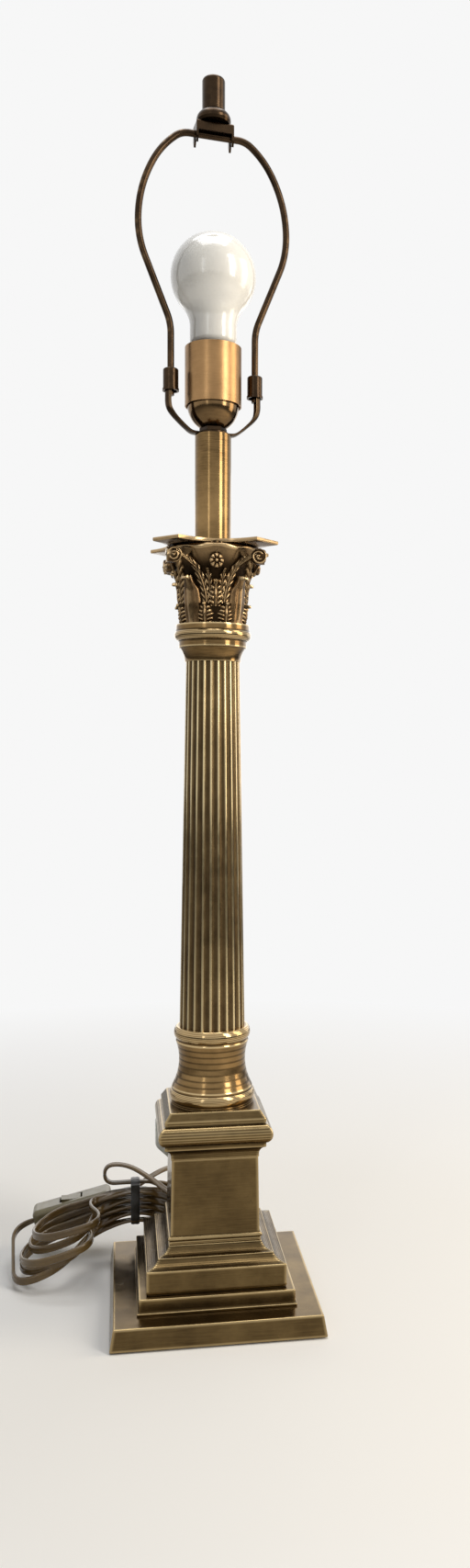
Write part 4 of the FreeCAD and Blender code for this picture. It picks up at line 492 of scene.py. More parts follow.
def make_base():
    squared("plate", "base_plate", 0.9, (66, PLATE_LOW), (73.2, PLATE_LOW), (70.7, PLATE_TOP),
            (CORE, PLATE_TOP))
    squared("step", "lower_step", 0.7, (50, PLATE_TOP), (54.8, PLATE_TOP), (54.8, 17.3), (53.6, 17.3),
            (53.6, STEP_TOP), (CORE, STEP_TOP))
    squared("plinth", "plinth_block", 0.7, (44, STEP_TOP), (47.2, STEP_TOP), (47.2, 27.3), (48.3, 27.3),
            (48.3, 42.3), ((43.25, 43.8), (40.2, 46.9)), (40.2, 47.9), (39.2, 47.9),
            ((34.7, 49.65), (32.4, PLINTH_TOP)), (CORE, PLINTH_TOP))
    squared("die", "pedestal_die", 0.5, (28, DIE_LOW), (32, DIE_LOW), (32, 55.6), (31.3, 55.9),
            ((33, 57.6), (31.3, 59.3)), (31.2, 60.5), (30.3, DIE_TOP), (CORE, DIE_TOP))
    squared("cap", "pedestal_cap", 0.6, (28, DIE_TOP), (30.8, DIE_TOP), (30.8, 113.2),
            ((32.05, 118.1), (35.4, 120.6)), (35.4, 123.4), ((39.8, 130.6), (36.8, 136.2)),
            (34.8, 137.1), (34.8, 138), (35.4, 138), (35.4, 140.3), (31.5, CAP_TOP), (CORE, CAP_TOP))


def make_turnings():
    turned("foot", "column_base", 0.4, (20, FOOT_LOW), (29.4, FOOT_LOW), (29.4, 147.4),
           ((30.7, 151), (29.4, 154.6)), (28.9, 154.9), (28.9, 156.6),
           ((23.8, 178.4), (26.1, 189.4)), (25.4, 190.8), ((27.4, 195.6), (25.4, FOOT_TOP)),
           (20, FOOT_TOP))
    turned("collar", "capital_collar", 0.35, (17, COLLAR_LOW), (19.9, COLLAR_LOW),
           ((20.7, 465.1), (23.4, 470.3)), (24.1, 470.3), (24.1, 475),
           ((27.3, 478.4), (26.1, 481.9)), (26.1, COLLAR_TOP), (18, COLLAR_TOP))


def make_column():
    """Tapered column with hollow flutes; its ends stand in foot and collar."""
    flutes, count, low, high = 24, 14, 197, 463
    foot_radius, taper, taper_run = 23.35, 4.45, 260.8
    flute_share, flute_depth, fillet = 0.4, 0.05, (1.25, 0.7)
    # Fillets between the flutes take the edge mark (wear and painted highlight); flute hollows take the
    # hollow mark (grime and painted shade).
    half = [(-1, 1), (-0.97, 0.6), (-0.9, 0.1), (-0.75, 0), (-0.5, 0), (-0.25, 0)]
    spots = half + [(0, 0)] + [(-t, edge) for t, edge in reversed(half)] + [fillet]
    rows = []
    for number in range(count):
        z = low + (high - low) * number / (count - 1)
        radius = foot_radius - taper * (z - FOOT_TOP) / taper_run
        row = []
        for flute in circle(flutes):
            for t, edge in spots:
                angle = flute - pi / 2 + t * flute_share * 2 * pi / flutes
                hollow = max(0, 1 - t * t)
                here = radius * (1 - flute_depth * hollow)
                row.append(((here * cos(angle), here * sin(angle), z), edge, hollow ** 0.8))
        rows.append(row)
    Relief(*rows).mesh("column", "fluted", ["fluted_column"], "polished_brass")


# ---- capital
BELL_LOW, BELL_BEND, BELL_TOP = COLLAR_TOP, 508, 536.5
BELL_RADIUS, BELL_SWELL, BELL_FLARE = 22.4, 0.4, 10.2
SCALLOPS = 8


def bell_radius(z):
    """Radius of the bell at a height: nearly upright, then flared."""
    if z <= BELL_BEND:
        return BELL_RADIUS + BELL_SWELL * (z - BELL_LOW) / (BELL_BEND - BELL_LOW)
    share = min(1, (z - BELL_BEND) / (BELL_TOP - BELL_BEND))
    return BELL_RADIUS + BELL_SWELL + BELL_FLARE * share ** 1.75


def leaf_half(width, v, rolled, plain):
    """Half width of a leaf: lobed, and narrower towards its rolled tip."""
    lobes, lobe_depth, lobe_start = 3, 0.11, 0.14
    taper, plain_taper, taper_start, rolled_taper = 0.45, 0.4, 0.72, 0.12
    lobe = 0 if plain else lobe_depth * cos(2 * pi * lobes * (v + lobe_start))
    narrow = 1 - (plain_taper if plain else taper) * ease(taper_start, 1, v) - rolled_taper * rolled
    return width / 2 * (0.8 + 0.2 * sin(pi * min(1, v * 1.1)) + lobe) * narrow


def carved_ribs(u, v, ribs):
    """Carving of a lobed leaf: slanting ribs beside a midrib with grooves."""
    size, inner, outer, depth, slant = abs(u), 0.16, 0.97, 0.62, 0.2
    midrib = 0.55 * exp(-(u / 0.11) ** 2) - 0.55 * exp(-((size - 0.2) / 0.07) ** 2)
    if not inner < size < outer:
        return midrib
    wave = sin(2 * pi * ribs * (v - slant * size ** 0.8))
    return midrib + depth * wave * ease(inner, 0.4, size)


def add_leaf(relief, turn, width, low, top, thick, curl, ribs, swing=0, lean=0, plain=False):
    """Leaf on the bell: a swelling blade with ribs and a rolled tip."""
    across, along, roll_steps, roll_angle = 19, 34, 8, 215
    edge_sunk, bend_start, bend_share, roll_out, roll_up = 0.8, 0.74, 0.25, 0.72, 0.95
    rows = []
    for i in range(along + roll_steps + 1):
        v = min(1, i / along)
        rolled = max(0, i - along) / roll_steps
        roll = radians(roll_angle) * rolled
        z = low + (top - low) * v
        middle = radians(turn + swing * v ** 1.6)
        tip = curl * (bend_share * ease(bend_start, 1, v) + roll_out * (1 - cos(roll)))
        row = []
        for j in range(across):
            u = 2 * j / (across - 1) - 1
            size = abs(u)
            carved = 0.35 * cos(3 * pi * u) * (1 - v * 0.5) if plain else carved_ribs(u, v, ribs)
            swell = thick * (1 - size ** 3) * (0.55 + 0.45 * ease(0, 0.5, v))
            at_edge = j in (0, across - 1)
            radius = bell_radius(z) + (-edge_sunk if at_edge else swell + carved + lean * v * v + tip)
            angle = middle + u * leaf_half(width, v, rolled, plain) / radius
            point = (radius * sin(angle), -radius * cos(angle), z + roll_up * curl * sin(roll))
            # Crests and the rolled tip lighten with wear and painted highlight; valleys and the leaf's
            # edges darken with grime and painted shade.
            if plain:
                crest = 0.35 * ease(0.5, 1, 1 - size)
                valley = 0.4 * ease(0.1, 0.35, -carved)
            else:
                crest = ease(0.15, 0.6, carved)
                valley = ease(0, 0.45, -carved)
            worn = max(crest * 0.8, min(1, rolled * 2) * 0.9)
            row.append((point, worn, max(valley * 0.95, ease(0.9, 1, size) * 0.8)))
        rows.append(row)
    relief.grid(rows)


def add_bell(relief):
    """The bell with its scalloped rim and the rounded lip over it."""
    count, lip_wave, rim_wave = 40, 0.7, 0.9
    rings = []
    for i in range(count):
        z = BELL_LOW + (BELL_TOP - BELL_LOW) * i / (count - 1)
        share = ease(524, 536, z)
        # The lower bell, behind the leaves, darkens with grime and painted shade; the rim and lip lighten
        # with wear and painted highlight.
        rings.append((bell_radius(z), z, share * 0.2, 0.95 - 0.75 * share, rim_wave * share))
    rings += [(33.6, 537.2, 0.9, 0.2, lip_wave), (33.9, 538.2, 0.9, 0.2, lip_wave),
              (33.4, 539.3, 0.5, 0.2, 0), (32, 540.3, 0.1, 0.2, 0), (12, 540.4, 0, 0.2, 0)]
    relief.grid([[((radius * sin(a), -radius * cos(a), z + wave * cos(SCALLOPS * a)), worn, deep)
                  for a in circle(192)] for radius, z, worn, deep, wave in rings], wrap=True)


def add_leaves(relief, face):
    """The leaves of one side and the plain one on its corner."""
    for hand in (-1, 1):
        add_leaf(relief, face + hand * 18, 11.6, 486.6, 499, 2.2, 1.5, 4.5)
        add_leaf(relief, face + hand * 15, 7.5, 499.5, 531, 1.8, 1.2, 7, swing=hand * 21, lean=1)
        add_leaf(relief, face + hand * 9, 5.5, 503, 522.5, 1.6, 1, 5, swing=hand * 3, lean=0.6)
    add_leaf(relief, face, 10.4, 497.5, 514.5, 2.3, 1.6, 5)
    add_leaf(relief, face + 45, 15.6, 486.6, 517, 2.6, 2, 1, lean=1.6, plain=True)


def scroll_face(hand):
    """Face of a volute that winds to the left or the right round its eye."""
    turns, ridge = 2.1, 0.55

    def height(share, angle):
        wave = cos(share * 2 * pi * turns - hand * angle)
        eye = exp(-(share / 0.2) ** 2)
        lift = ridge * wave * (1 - eye) + 2 * ridge * eye - 0.5 * ease(0.9, 1, share)
        # Ridges and the eye lighten with wear and painted highlight; the grooves between them darken with
        # grime and painted shade.
        worn = ease(0.3, 0.9, wave) * 0.8 + 0.2 * eye
        return lift, worn, ease(0, 0.7, -wave) * 0.9 * (1 - eye)
    return height


def flower_face(share, angle):
    """Face of the flower: eight petals round a button."""
    height, groove = 1.7, 0.33
    petal = abs(cos(4 * angle))
    button = exp(-(share / 0.24) ** 4)
    lift = (1 - button) * (height * sin(pi * min(1, share * 0.95)) * petal ** 0.6 - 0.4)
    lift += height * button - 0.9 * exp(-((share - groove) / 0.07) ** 2)
    # Petal tips and the button lighten with wear and painted highlight; gaps between petals darken with
    # grime and painted shade.
    worn = max(button, petal ** 2 * ease(0.45, 0.7, share) * (1 - ease(0.85, 1, share)))
    return lift, worn * 0.9, max(0, 1 - petal * 1.6) * (1 - button)


def add_stalk(relief, turn, hand):
    """Ribbed stalk that rises from the leaves to a volute."""
    ribs, width, slant, along, across = 3, 5.2, 1.3, 15, 12
    rows = []
    for i in range(along + 1):
        v = i / along
        x, z = 13 + 14.5 * v, 523 + 10.5 * v ** 0.75
        out = 31.5 + 2.4 * v - 3.2 * (1 - v) - 1
        row = []
        for j in range(across + 1):
            u = j / across
            ridge = cos(2 * pi * ribs * u)
            lift = 0.9 * (1.3 * sin(pi * u) + 0.5 * ridge)
            height = z - width / 2 + width * u * (0.55 + 0.45 * v)
            point = turn @ Vector((hand * (x - slant * (0.5 - u)), -(out + lift), height))
            # Rib crests lighten with wear and painted highlight; grooves darken with grime and painted
            # shade.
            row.append((point, ease(0.2, 0.9, ridge) * 0.8, ease(0, 0.8, -ridge) * 0.9))
        rows.append(row)
    relief.grid(rows)


def add_fan(relief, turn):
    """Small fan of ribs over the flower."""
    low, tall, out, along, across = 533, 8.6, 31, 8, 16
    rows = []
    for i in range(along + 1):
        v = i / along
        row = []
        for j in range(across + 1):
            u = 2 * j / across - 1
            rib = cos(u * pi * 2.5)
            reach = out + 1.6 * v + 0.5 * rib * (1 - u * u) - 1.6 * u * u
            point = turn @ Vector((u * (1.6 + 2.9 * v), -reach, low + tall * v - 1.2 * u * u * v))
            # Ribs lighten with wear and painted highlight; grooves darken with grime and painted shade.
            row.append((point, max(0, rib) * 0.8, max(0, -rib) * 0.9))
        rows.append(row)
    relief.grid(rows)


def make_capital():
    volute, volute_radius, volute_thick = Vector((29, -33.6, 531.2)), 5.3, 4.4
    flower, flower_radius, flower_thick = Vector((0, -32.6, 527.8)), 5, 4
    relief = Relief()
    add_bell(relief)
    for quarter in range(4):
        face = 90 * quarter
        add_leaves(relief, face)
        turn = Matrix.Rotation(radians(face), 3, "Z")
        facing, aside = turn @ -BACK, turn @ ACROSS
        for hand in (-1, 1):
            centre = turn @ Vector((hand * volute.x, volute.y, volute.z))
            relief.disc(centre, facing, aside, volute_radius, volute_thick, scroll_face(hand))
            add_stalk(relief, turn, hand)
        relief.disc(turn @ flower, facing, aside, flower_radius, flower_thick, flower_face)
        add_fan(relief, turn)
    relief.mesh("capital_leaves", "cast", ["capital"], "cast_brass")


def make_abacus():
    """Thin four-horned plate with softened edges."""
    low, top, inner, steps = 540.4, 543, 20, 24
    horn, middle, hollow = 26.6, 31.5, 11.8
    edge = []
    for side in range(4):
        for i in range(steps + 1):
            x = -horn + 2 * horn * i / steps
            place = spun(x, -middle - hollow * (x / horn) ** 2, pi / 2 * side)
            edge.append((*place, hypot(*place)))
    # The rounded arrises lighten with wear and painted highlight; the underside towards the bell darkens
    # with grime and painted shade.
    rings = ((inner, low, 0, 0.35), (0.7, low, 0, 0), (0.15, 540.7, 0.9, 0), (0, 541.3, 0.5, 0),
             (0, 542.2, 0.5, 0), (0.15, 542.8, 0.9, 0), (0.7, top, 0.2, 0), (inner, top, 0, 0))
    rows = [[((x * (size - inset) / size, y * (size - inset) / size, z), worn, deep) for x, y, size in edge]
            for inset, z, worn, deep in rings]
    Relief(*rows).mesh("abacus", "cast", ["abacus_plate"], "polished_brass", edge_angle=50)


# ---- saddle, bulb and harp
HARP_TURN = Matrix.Rotation(radians(8), 3, "Z")


def curve_at(line, share):
    """Place and heading at a share of a smooth curve."""
    s = share * (len(line) - 1)
    k = min(int(s), len(line) - 2)
    t = s - k
    a, b, c, d = line[max(k - 1, 0)], line[k], line[k + 1], line[min(k + 2, len(line) - 1)]
    first, second, third = c - a, 2 * a - 5 * b + 4 * c - d, 3 * b - a - 3 * c + d
    place = 0.5 * (2 * b + first * t + second * t * t + third * t ** 3)
    return place, (first + 2 * second * t + 3 * third * t * t).normalized()


def make_saddle():
    """Strip under the lamp holder with two arms like gutters."""
    low, top, hole, rim, rounding = 620.35, 622.3, 5.4, 10.8, 0.4
    steps, wall_steps, metal, inner_share = 40, 16, 1.3, 0.12
    relief = Relief()
    disc = ((hole, low), (rim - rounding, low), (rim, 620.8), (rim, 621.9), (rim - rounding, top),
            (hole, top))
    # The disc is darkened a little with grime and painted shade.
    relief.grid([[(point, 0, 0.2) for point in ring(r, z, 48)] for r, z in disc], wrap=True)
    line = [Vector(p) for p in (
        (8, low), (13, low), (17, 621.3), (21.5, 624.4), (26, 628.2), (30.2, 632.2),
        (33.2, 636.2), (34.4, 640.8), (34.5, 646), (34.5, 652), (34.5, 657))]
    for spin in (HARP_TURN, Matrix.Rotation(pi, 3, "Z") @ HARP_TURN):
        rows = []
        for i in range(steps + 1):
            place, heading = curve_at(line, i / steps)
            outward = Vector((heading.y, -heading.x))
            gutter = ease(0.12, 0.75, i / steps)
            half, hollow = 4.1 + 0.5 * (1 - gutter), 0.8 + 3.2 * gutter
            row = []
            for wall, order in ((0, range(wall_steps + 1)), (metal, range(wall_steps, -1, -1))):
                for j in order:
                    u = (2 * j / wall_steps - 1) * (1 - inner_share * (wall > 0))
                    inset = hollow * (1 - sqrt(1 - u * u * 0.999)) + wall
                    spot = place - outward * inset
                    # The gutters' rims lighten with wear and painted highlight; the second face of the
                    # strip darkens with grime and painted shade.
                    worn = ease(0.85, 1, abs(u)) * 0.5
                    row.append((spin @ Vector((spot.x, u * half, spot.y)), worn, 0.5 if wall else 0))
            rows.append(row)
        relief.grid(rows, wrap=True)
        relief.faces.append(tuple(range(len(relief.verts) - len(row), len(relief.verts))))
    relief.mesh("saddle_arms", "bronze", ["harp_saddle"], "dark_bronze", edge_angle=40)


def bulb_line(inset):
    """Line (radius, z) of the glass from its foot to its top."""
    globe_z, foot_z, neck_start, neck_run = 731, 676.4, 1, 9
    globe, neck, shoulder, foot = 30.2 - inset, 16.6 - inset, 22 + inset, 11.6 - inset
    drop = sqrt((globe + shoulder) ** 2 - (neck + shoulder) ** 2)
    lean = atan2(drop, neck + shoulder)
    line = [(foot, foot_z)]
    for t in range(9):
        line.append((foot + (neck - foot) * ease(0, 1, t / 8), foot_z + neck_start + neck_run * t / 8))
    for t in range(17):
        a = lean * t / 16
        line.append((neck + shoulder * (1 - cos(a)), globe_z - drop + shoulder * sin(a)))
    for t in range(1, 48):
        a = -lean + (pi / 2 + lean) * t / 48
        line.append((globe * cos(a), globe_z + globe * sin(a)))
    return line + [(0, globe_z + globe)]


def make_bulb():
    """Glass envelope of the bulb with its inner wall."""
    glass, segments = 0.8, 96
    line = bulb_line(glass)[::-1] + bulb_line(0)
    verts = [(0, 0, line[0][1])]
    for r, z in line[1:-1]:
        verts += ring(r, z, segments)
    verts.append((0, 0, line[-1][1]))
    last = len(verts) - 1
    faces = [tuple(v + 1 for v in face) for face in grid_faces(len(line) - 2, segments)]
    for j in range(segments):
        k = (j + 1) % segments
        faces += [(0, k + 1, j + 1), (last, last - segments + j, last - segments + k)]
    new_mesh("bulb_envelope", verts, faces, "opal", ["bulb_glass"], "opal_glass", body="bulb")


def harp_half():
    """Left half of the harp's wire as (place, heading)."""
    leg_half, foot_z, bend_z, slope, straight_steps = 30.4, 646, 689, 40, 6
    bends = ((37, -22.3), (66, 22.3), (87, 30), (58, 22), (16, 38))
    half = [(Vector((-leg_half, foot_z + (bend_z - foot_z) * t / straight_steps)), 0)
            for t in range(straight_steps + 1)]
    spot, heading = half[-1]
    for number, (radius, degrees) in enumerate(bends):
        steps = max(6, int(abs(degrees) / 2))
        step = radians(degrees) / steps
        for _ in range(steps):
            middle = heading + step / 2
            chord = 2 * radius * sin(abs(step) / 2)
            spot = spot + Vector((sin(middle), cos(middle))) * chord
            heading += step
            half.append((spot, heading))
        for _ in range(straight_steps if number == 0 else 0):
            spot = spot + Vector((sin(heading), cos(heading))) * slope / straight_steps
            half.append((spot, heading))
    return half


def make_harp():
    """The harp's wire, its bronze lightened in patches on one side by rubbing and painted highlight."""
    wire, sides, most_rub_and_sheen = 2.4, 24, 0.35
    half = harp_half()
    line = half + [(Vector((-p.x, p.y)), pi - a) for p, a in reversed(half)]
    verts, worn = [], []
    for place, heading in line:
        across = Vector((cos(heading), 0, -sin(heading)))
        # Painted highlight with rubbing: patches along one side of the wire lighten.
        rub_and_sheen = most_rub_and_sheen * ease(0.4, 1, sin(place.y * 0.9 + place.x * 0.35))
        for a in circle(sides):
            around = across * cos(a) + BACK * sin(a)
            verts.append(HARP_TURN @ (Vector((place.x, 0, place.y)) + around * wire))
            worn.append(rub_and_sheen * max(0, -cos(a)))
    faces = grid_faces(len(line), sides)
    faces += [tuple(range(sides)), tuple(reversed(range(len(verts) - sides, len(verts))))]
    new_mesh("harp_bow", verts, faces, "bronze", ["harp_wire"], "dark_bronze", body="harp",
             edge_angle=50, worn=worn)


# ---- plug and strap
PLUG_X, PLUG_Y, PLUG_LOW, PLUG_TOP = -22, 42.4, 77.9, 120


def make_plug():
    """Flat two-pin plug with finger grooves and a ribbed sleeve at the lead."""
    sleeve_steps, body_steps, columns, closed = 24, 40, 64, 0.1
    rows = [(closed, closed, PLUG_LOW)]
    for i in range(sleeve_steps + 1):
        v = i / sleeve_steps
        rib = 0.35 * cos(i * pi / 2)
        rows.append((3.3 + 1.7 * v + rib, 3.2 + 1.5 * v + rib, PLUG_LOW + 9.6 * v))
    for i in range(body_steps + 1):
        v = i / body_steps
        rounding = ease(0.94, 1, v) ** 2
        gripped = ease(0.3, 0.4, v) * (1 - ease(0.8, 0.9, v))
        groove = 0.55 * (0.5 + 0.5 * cos(2 * pi * 7 * v)) * gripped
        half = 7.2 + 10.2 * ease(0, 0.42, v) - rounding
        thick = 5.2 + 1.6 * ease(0, 0.3, v) - groove - 0.8 * rounding
        rows.append((half, thick, 87.6 + 32.3 * v))
    rows.append((closed, closed, PLUG_TOP))
    verts = []
    for half, thick, z in rows:
        for a in circle(columns):
            x, y = signed_power(cos(a), 0.45) * half, signed_power(sin(a), 0.55) * thick
            verts.append((x + PLUG_X, y + PLUG_Y, z))
    new_mesh("plug_shell", verts, grid_faces(len(rows), columns), "plug", ["plug_body"], "clear_pvc",
             edge_angle=60)


def make_tie():
    """Thin strap round the waist of the hank, with its lock."""
    columns, half_width, half_height, middle_z = 72, 5.75, 16.2, 46.75
    section = ((-3.4, 0.25), (-3.2, 1), (-1.6, 1.35), (0, 1.2), (1.6, 1.4), (3.2, 1), (3.4, 0.25),
               (3.3, 0), (-3.3, 0), (-3.4, 0.25))
    verts = []
    for x, grow in section:
        for a in circle(columns):
            c, s = cos(a), sin(a)
            pinch = 0.175 * cos(10 * s) if abs(c) > 0.3 else 0
            y = signed_power(c, 0.35) * (half_width + grow + pinch)
            z = signed_power(s, 0.8) * (half_height + grow)
            verts.append((WAIST_X + x, WAIST_Y + y, middle_z + z))
    faces = grid_faces(len(section), columns)
    base, left, right = len(verts), -57.2, -50.8
    verts += [(left, 62.2, 57.5), (right, 62.2, 57.5), (right, 65, 57.5), (left, 65, 57.5),
              (left, 61.9, 62), (right, 61.9, 62), (right, 65.4, 62.3), (left, 65.4, 62.3)]
    for face in ((0, 1, 5, 4), (1, 2, 6, 5), (2, 3, 7, 6), (3, 0, 4, 7), (4, 5, 6, 7), (3, 2, 1, 0)):
        faces.append(tuple(base + k for k in face))
    new_mesh("strap", verts, faces, "tie", ["cord_tie"], "black_tie", edge_angle=45)


# ---- cord: places in mm, angles in degrees
def down(degrees, side):
    """Heading to a side, so many degrees below level."""
    return Vector((side * cos(radians(degrees)), 0, -sin(radians(degrees))))


NO_RISE = Vector((0, 0, 0))
SWITCH_RIGHT, SWITCH_LONG = Vector((-72, 92, 42.4)), 61.5
SWITCH_AHEAD = down(13.35, -1)
WAIST_X, WAIST_Y, WAIST_RUN, WAIST_SPACE, WAIST_LOW, PITCH = -54, 71, 12, 6.6, 33, 5.5
TILT_RADIUS, RIGHT_TILT = 20, 15
CORD_WIDE, CORD_THICK = 5.8, 2.9


class Route:
    """Corner points of a winding, walked along a heading."""

    def __init__(self, start, heading):
        self.at, self.heading, self.points = start, heading, []

    def mark(self):
        self.points.append(Vector(self.at))

    def run(self, length):
        self.at = self.at + self.heading * length

    def bend(self, radius, degrees, axis, corners=1, rise=NO_RISE):
        part = radians(degrees) / corners
        reach = radius * tan(abs(part) / 2)
        for _ in range(corners):
            self.run(reach)
            self.points.append(self.at + rise)
            self.heading = Matrix.Rotation(part, 3, axis) @ self.heading
            self.run(reach)

    def shift(self, target, rise=NO_RISE):
        """Walks to a target beside the heading in two equal bends."""
        step = target - self.at
        ahead = step.dot(self.heading)
        aside = step - self.heading * ahead
        if aside.length < 0.01:
            self.run(ahead)
            return
        angle = 2 * atan2(aside.length, ahead)
        radius = ahead / (2 * sin(angle))
        axis = self.heading.cross(aside).normalized()
        for turn in (angle, -angle):
            self.bend(radius, turn * 180 / pi, axis, 1, rise)


def waist_exit(x, y, turn_number, degrees, side):
    """Where a turn of the hank has left its waist and reached its slope."""
    angle, z = radians(degrees), WAIST_LOW + PITCH * turn_number
    return Vector((x + side * TILT_RADIUS * sin(angle), y, z - TILT_RADIUS * (1 - cos(angle))))


def hank_points():
    """The hank: left loop, tie, right loop and tie again for each turn."""
    left_loops = ((19, 13.2, 0, 5, 0), (19.4, 25, -1.5, 5, 52), (19, 31, 3, 2.2, 44),
                  (18.6, 24, -1, 5.4, 46), (18, 29, 5, 2.6, 36))
    right_loops = ((13.4, 32), (14, 33), (14.6, 34.5), (14.2, 36), (15.2, 37.5))
    half, first_run, switch_gap, right_shift = WAIST_SPACE / 2, 44, 4.4, 1.4
    left_x, right_x = WAIST_X - WAIST_RUN / 2, WAIST_X + WAIST_RUN / 2
    route = Route(SWITCH_RIGHT + SWITCH_AHEAD * SWITCH_LONG, SWITCH_AHEAD)
    route.run(switch_gap)
    for number, (tilt, radius, lift_height, back, reach) in enumerate(left_loops):
        end = waist_exit(left_x, WAIST_Y - half, number, tilt, -1)
        ahead = down(tilt, -1)
        normal = BACK.cross(ahead)
        lift = normal * lift_height
        if number == 0:
            route.heading = ahead
            across = asin((route.at - end).dot(normal) / (first_run + 2 * radius))
            axis = ahead.cross(BACK * -cos(across) - normal * sin(across))
            route.bend(radius, 90, axis)
            route.run(first_run / 2)
            route.mark()
            route.run(first_run / 2)
            route.bend(radius, 90, axis)
        else:
            route.run(WAIST_RUN)
            route.bend(TILT_RADIUS, -tilt, BACK)
            route.shift(Vector((route.at.x, WAIST_Y + back, route.at.z)) + ahead * reach)
            route.bend(radius, 90, normal, 2, lift * 0.5)
            route.bend(radius, 90, normal, 2, lift)
        route.shift(end, lift * 0.6)
        route.bend(TILT_RADIUS, tilt, BACK)
        route.run(WAIST_RUN)
        route.bend(TILT_RADIUS, RIGHT_TILT, BACK)
        right_radius, right_reach = right_loops[number]
        ahead = down(RIGHT_TILT, 1)
        start = Vector((route.at.x, WAIST_Y + right_shift - right_radius, route.at.z))
        route.shift(start + ahead * right_reach)
        route.bend(right_radius, 180, ahead.cross(BACK), 4)
        route.shift(waist_exit(right_x, WAIST_Y + half, number + 1, RIGHT_TILT, 1))
        route.bend(TILT_RADIUS, -RIGHT_TILT, BACK)
    route.run(WAIST_RUN)
    route.mark()
    return route.points


def cord_points():
    """The cord's points: to the switch, the hank, and fold and tail to the plug."""
    lead = [Vector(p) for p in (
        (0, 72.7, 7.4), (0, 111.7, 7.4), (4, 126, 24), (-2, 126, 46), (-18, 115, 58), (-37, 102, 57))]
    lead += [SWITCH_RIGHT - SWITCH_AHEAD * 14, SWITCH_RIGHT + SWITCH_AHEAD * 46]
    tail = [Vector(p) for p in (
        (-77.5, 74.3, 60.2), (-77.5, 74.3, 75.2), (-59.5, 74.3, 74.4), (-41, 69, 63.5),
        (-31, 61.5, 57.5), (-25.6, 50.2, 57.2), (-22, 42.4, 65.8), (-22, 42.4, 78.5))]
    return lead, hank_points(), tail


def cord_section():
    """Flat section of twin flex, pinched between its wires."""
    count, pinch_depth, pinch_half = 24, 0.28, 2.2
    section = bpy.data.curves.new("lead_section", "CURVE")
    section.dimensions = "2D"
    edge = section.splines.new("POLY")
    edge.points.add(count - 1)
    for point, angle in zip(edge.points, circle(count)):
        x, y = cos(angle), signed_power(sin(angle), 0.7)
        pinch = 1 - pinch_depth * max(0, 1 - abs(x) * pinch_half)
        point.co = (x * CORD_WIDE / 2 * MM, y * CORD_THICK / 2 * pinch * MM, 0, 1)
    edge.use_cyclic_u = True
    return bpy.data.objects.new("lead_section", section)


def make_cord():
    """One spline: the hank's loops lie on edge, the rest lies flat."""
    waist_reach = 12
    lead, hank, tail = cord_points()
    points = lead + hank + tail
    loops = range(len(lead), len(lead) + len(hank) - 1)
    curve = bpy.data.curves.new("flat_lead", "CURVE")
    curve.dimensions = "3D"
    spline = curve.splines.new("NURBS")
    spline.points.add(len(points) - 1)
    for number, (point, place) in enumerate(zip(spline.points, points)):
        point.co = (*(place * MM), 1)
        on_edge = number in loops and abs(place.x - WAIST_X) >= waist_reach
        point.tilt = pi / 2 if on_edge else 0
    spline.order_u = 3
    spline.use_endpoint_u = True
    spline.resolution_u = 10
    curve.twist_mode = "Z_UP"
    curve.bevel_mode = "OBJECT"
    curve.bevel_object = cord_section()
    curve.use_fill_caps = True
    curve.materials.append(LOOK["cord"])
    cord = placed("flat_lead", curve)
    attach(cord, "root")
    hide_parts("cord_lead", "cord_hank", "cord_tail")
    return cord


# ---- light and stage: places in metres
BACKGROUND = (0.93, 0.93, 0.93)
WORLD_LIGHT, WORLD_STRENGTH = (0.86, 0.84, 0.8, 1), 0.12
FLOOR_HALF, FADE_START, FADE_END = 9, 0.26, 1


def area_light(name, place, target, size, power, colour=(1, 1, 1)):
    data = bpy.data.lights.new(name, "AREA")
    data.shape, data.size, data.size_y = "RECTANGLE", size[0], size[1]
    data.energy, data.color = power, colour
    lamp = placed(name, data)
    lamp.location = place
    lamp.rotation_euler = (Vector(target) - Vector(place)).to_track_quat("-Z", "Y").to_euler()
    lamp.visible_camera = False


def set_world():
    """Weak even light; camera, glass and metal see the pale background instead."""
    world = bpy.data.worlds.new("pale_world")
    bpy.context.scene.world = world
    world.use_nodes = True
    tree = world.node_tree
    add, link = tree.nodes.new, tree.links.new
    back = tree.nodes["Background"]
    back.inputs["Color"].default_value = WORLD_LIGHT
    back.inputs["Strength"].default_value = WORLD_STRENGTH
    white = add("ShaderNodeBackground")
    white.inputs["Color"].default_value = (*BACKGROUND, 1)
    path = add("ShaderNodeLightPath")
    shown = path.outputs["Is Camera Ray"]
    for ray in ("Is Transmission Ray", "Is Glossy Ray"):
        either = add("ShaderNodeMath")
        either.operation = "MAXIMUM"
        link(shown, either.inputs[0])
        link(path.outputs[ray], either.inputs[1])
        shown = either.outputs[0]
    blend = add("ShaderNodeMixShader")
    for number, source in enumerate((shown, back.outputs[0], white.outputs[0])):
        link(source, blend.inputs[number])
    link(blend.outputs[0], tree.nodes["World Output"].inputs["Surface"])


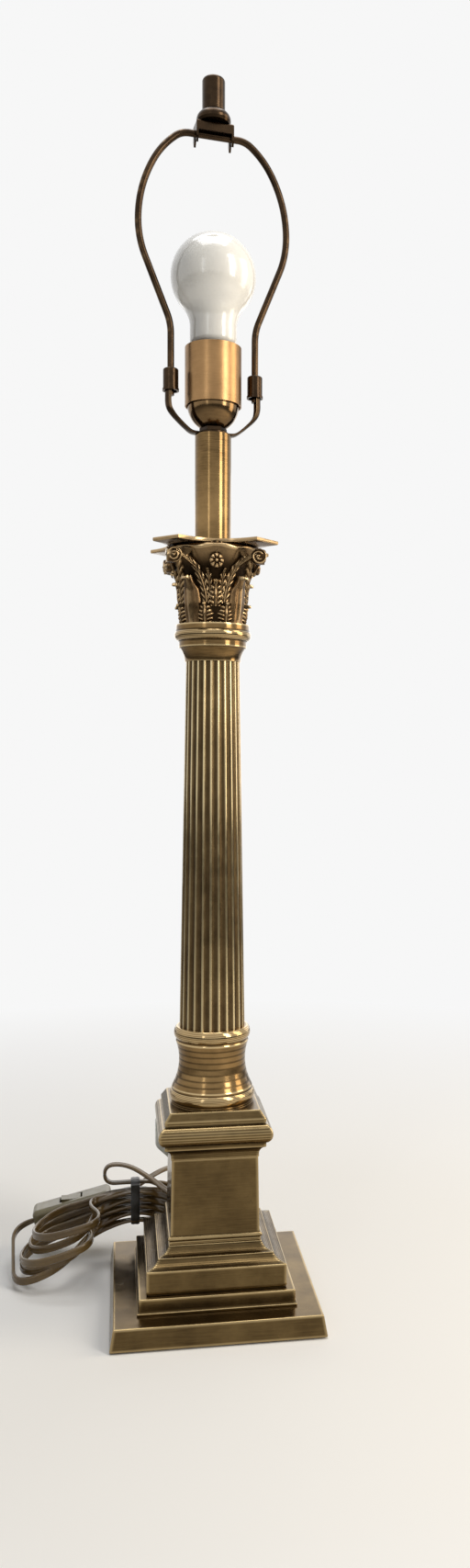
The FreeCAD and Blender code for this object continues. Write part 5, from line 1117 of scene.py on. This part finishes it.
def make_floor():
    """Pale floor with the lamp's shadow that fades into the background."""
    n = Nodes("pale_floor")
    tone = n.ramp(n.noise(1.5, 2), (NOISE_LOW, (0.84, 0.84, 0.835)), (NOISE_HIGH, (0.87, 0.87, 0.865)))
    material = n.finish(tone, Roughness=0.9, Specular_IOR_Level=0.1)
    reach = n.fill(n.node("VectorMath", operation="LENGTH"), {0: n.place})
    fade = n.grey(reach.outputs["Value"], 0, 1, FADE_START, FADE_END)
    shown = n.math("MULTIPLY", fade, n.node("LightPath").outputs["Is Camera Ray"])
    plain = n.fill(n.node("Emission"), {"Color": BACKGROUND})
    blend = n.fill(n.node("MixShader"), {0: shown, 1: n.shader.outputs[0], 2: plain.outputs[0]})
    n.feed(n.out.inputs["Surface"], blend.outputs[0])
    mesh = bpy.data.meshes.new("floor")
    corners = [(x * FLOOR_HALF, y * FLOOR_HALF, 0) for x, y in ((-1, -1), (1, -1), (1, 1), (-1, 1))]
    mesh.from_pydata(corners, [], [(0, 1, 2, 3)])
    mesh.materials.append(material)
    floor = placed("floor", mesh)


def set_lights():
    area_light("key_light", (1, -0.95, 1.1), (0, 0, 0.45), (0.4, 1.3), 14, (1, 0.94, 0.84))
    area_light("side_light", (1.35, -0.1, 0.9), (0, 0, 0.45), (0.5, 1.3), 9, (1, 0.84, 0.62))
    area_light("fill_light", (-0.9, -1.5, 1), (0, 0, 0.4), (0.22, 1.1), 1.6, (0.95, 0.98, 1))
    area_light("wall_light", (0.45, 1.3, 0.5), (0, 0, 0.15), (2.2, 0.8), 5, (1, 0.97, 0.92))
    area_light("top_light", (0, 0.1, 2.6), (0, 0, 0.2), (1.6, 1.6), 31)


bpy.context.scene.view_settings.view_transform = "Standard"
set_camera()
LOOK = make_materials()
cord = make_cord()
set_world()
make_floor()
set_lights()

make_base()
make_turnings()
make_column()
make_capital()
make_abacus()
make_saddle()
make_bulb()
make_harp()
make_plug()
make_tie()
dress("turned", "neck_tube")
dress("bronze", "saddle_locknut", "ferrule_left", "ferrule_right", "harp_bracket", "harp_stud",
      "cup_washer", "finial")
dress("holder", "socket_sleeve")
dress("cup", "socket_cup")
dress("contact", "screw_shell", "centre_contact", "terminal_blocks", "bulb_tip", "finial_insert",
      "plug_pins", "switch_contacts")
dress("steel", "threaded_rod", "rod_spacers", "base_washer", "base_nut", "terminal_screws",
      "bulb_cap", "switch_screws")
dress("iron", "base_weight")
dress("felt", "felt_pad")
dress("black", "socket_insulator", "socket_liner", "bulb_vitrite")
dress("cord", "inner_cord", "inner_wires", "cord_bush")
dress("switch", "switch_bottom", "switch_top", "switch_rocker")
dress("glass", "bulb_stem")
dress("wire", "bulb_filament")
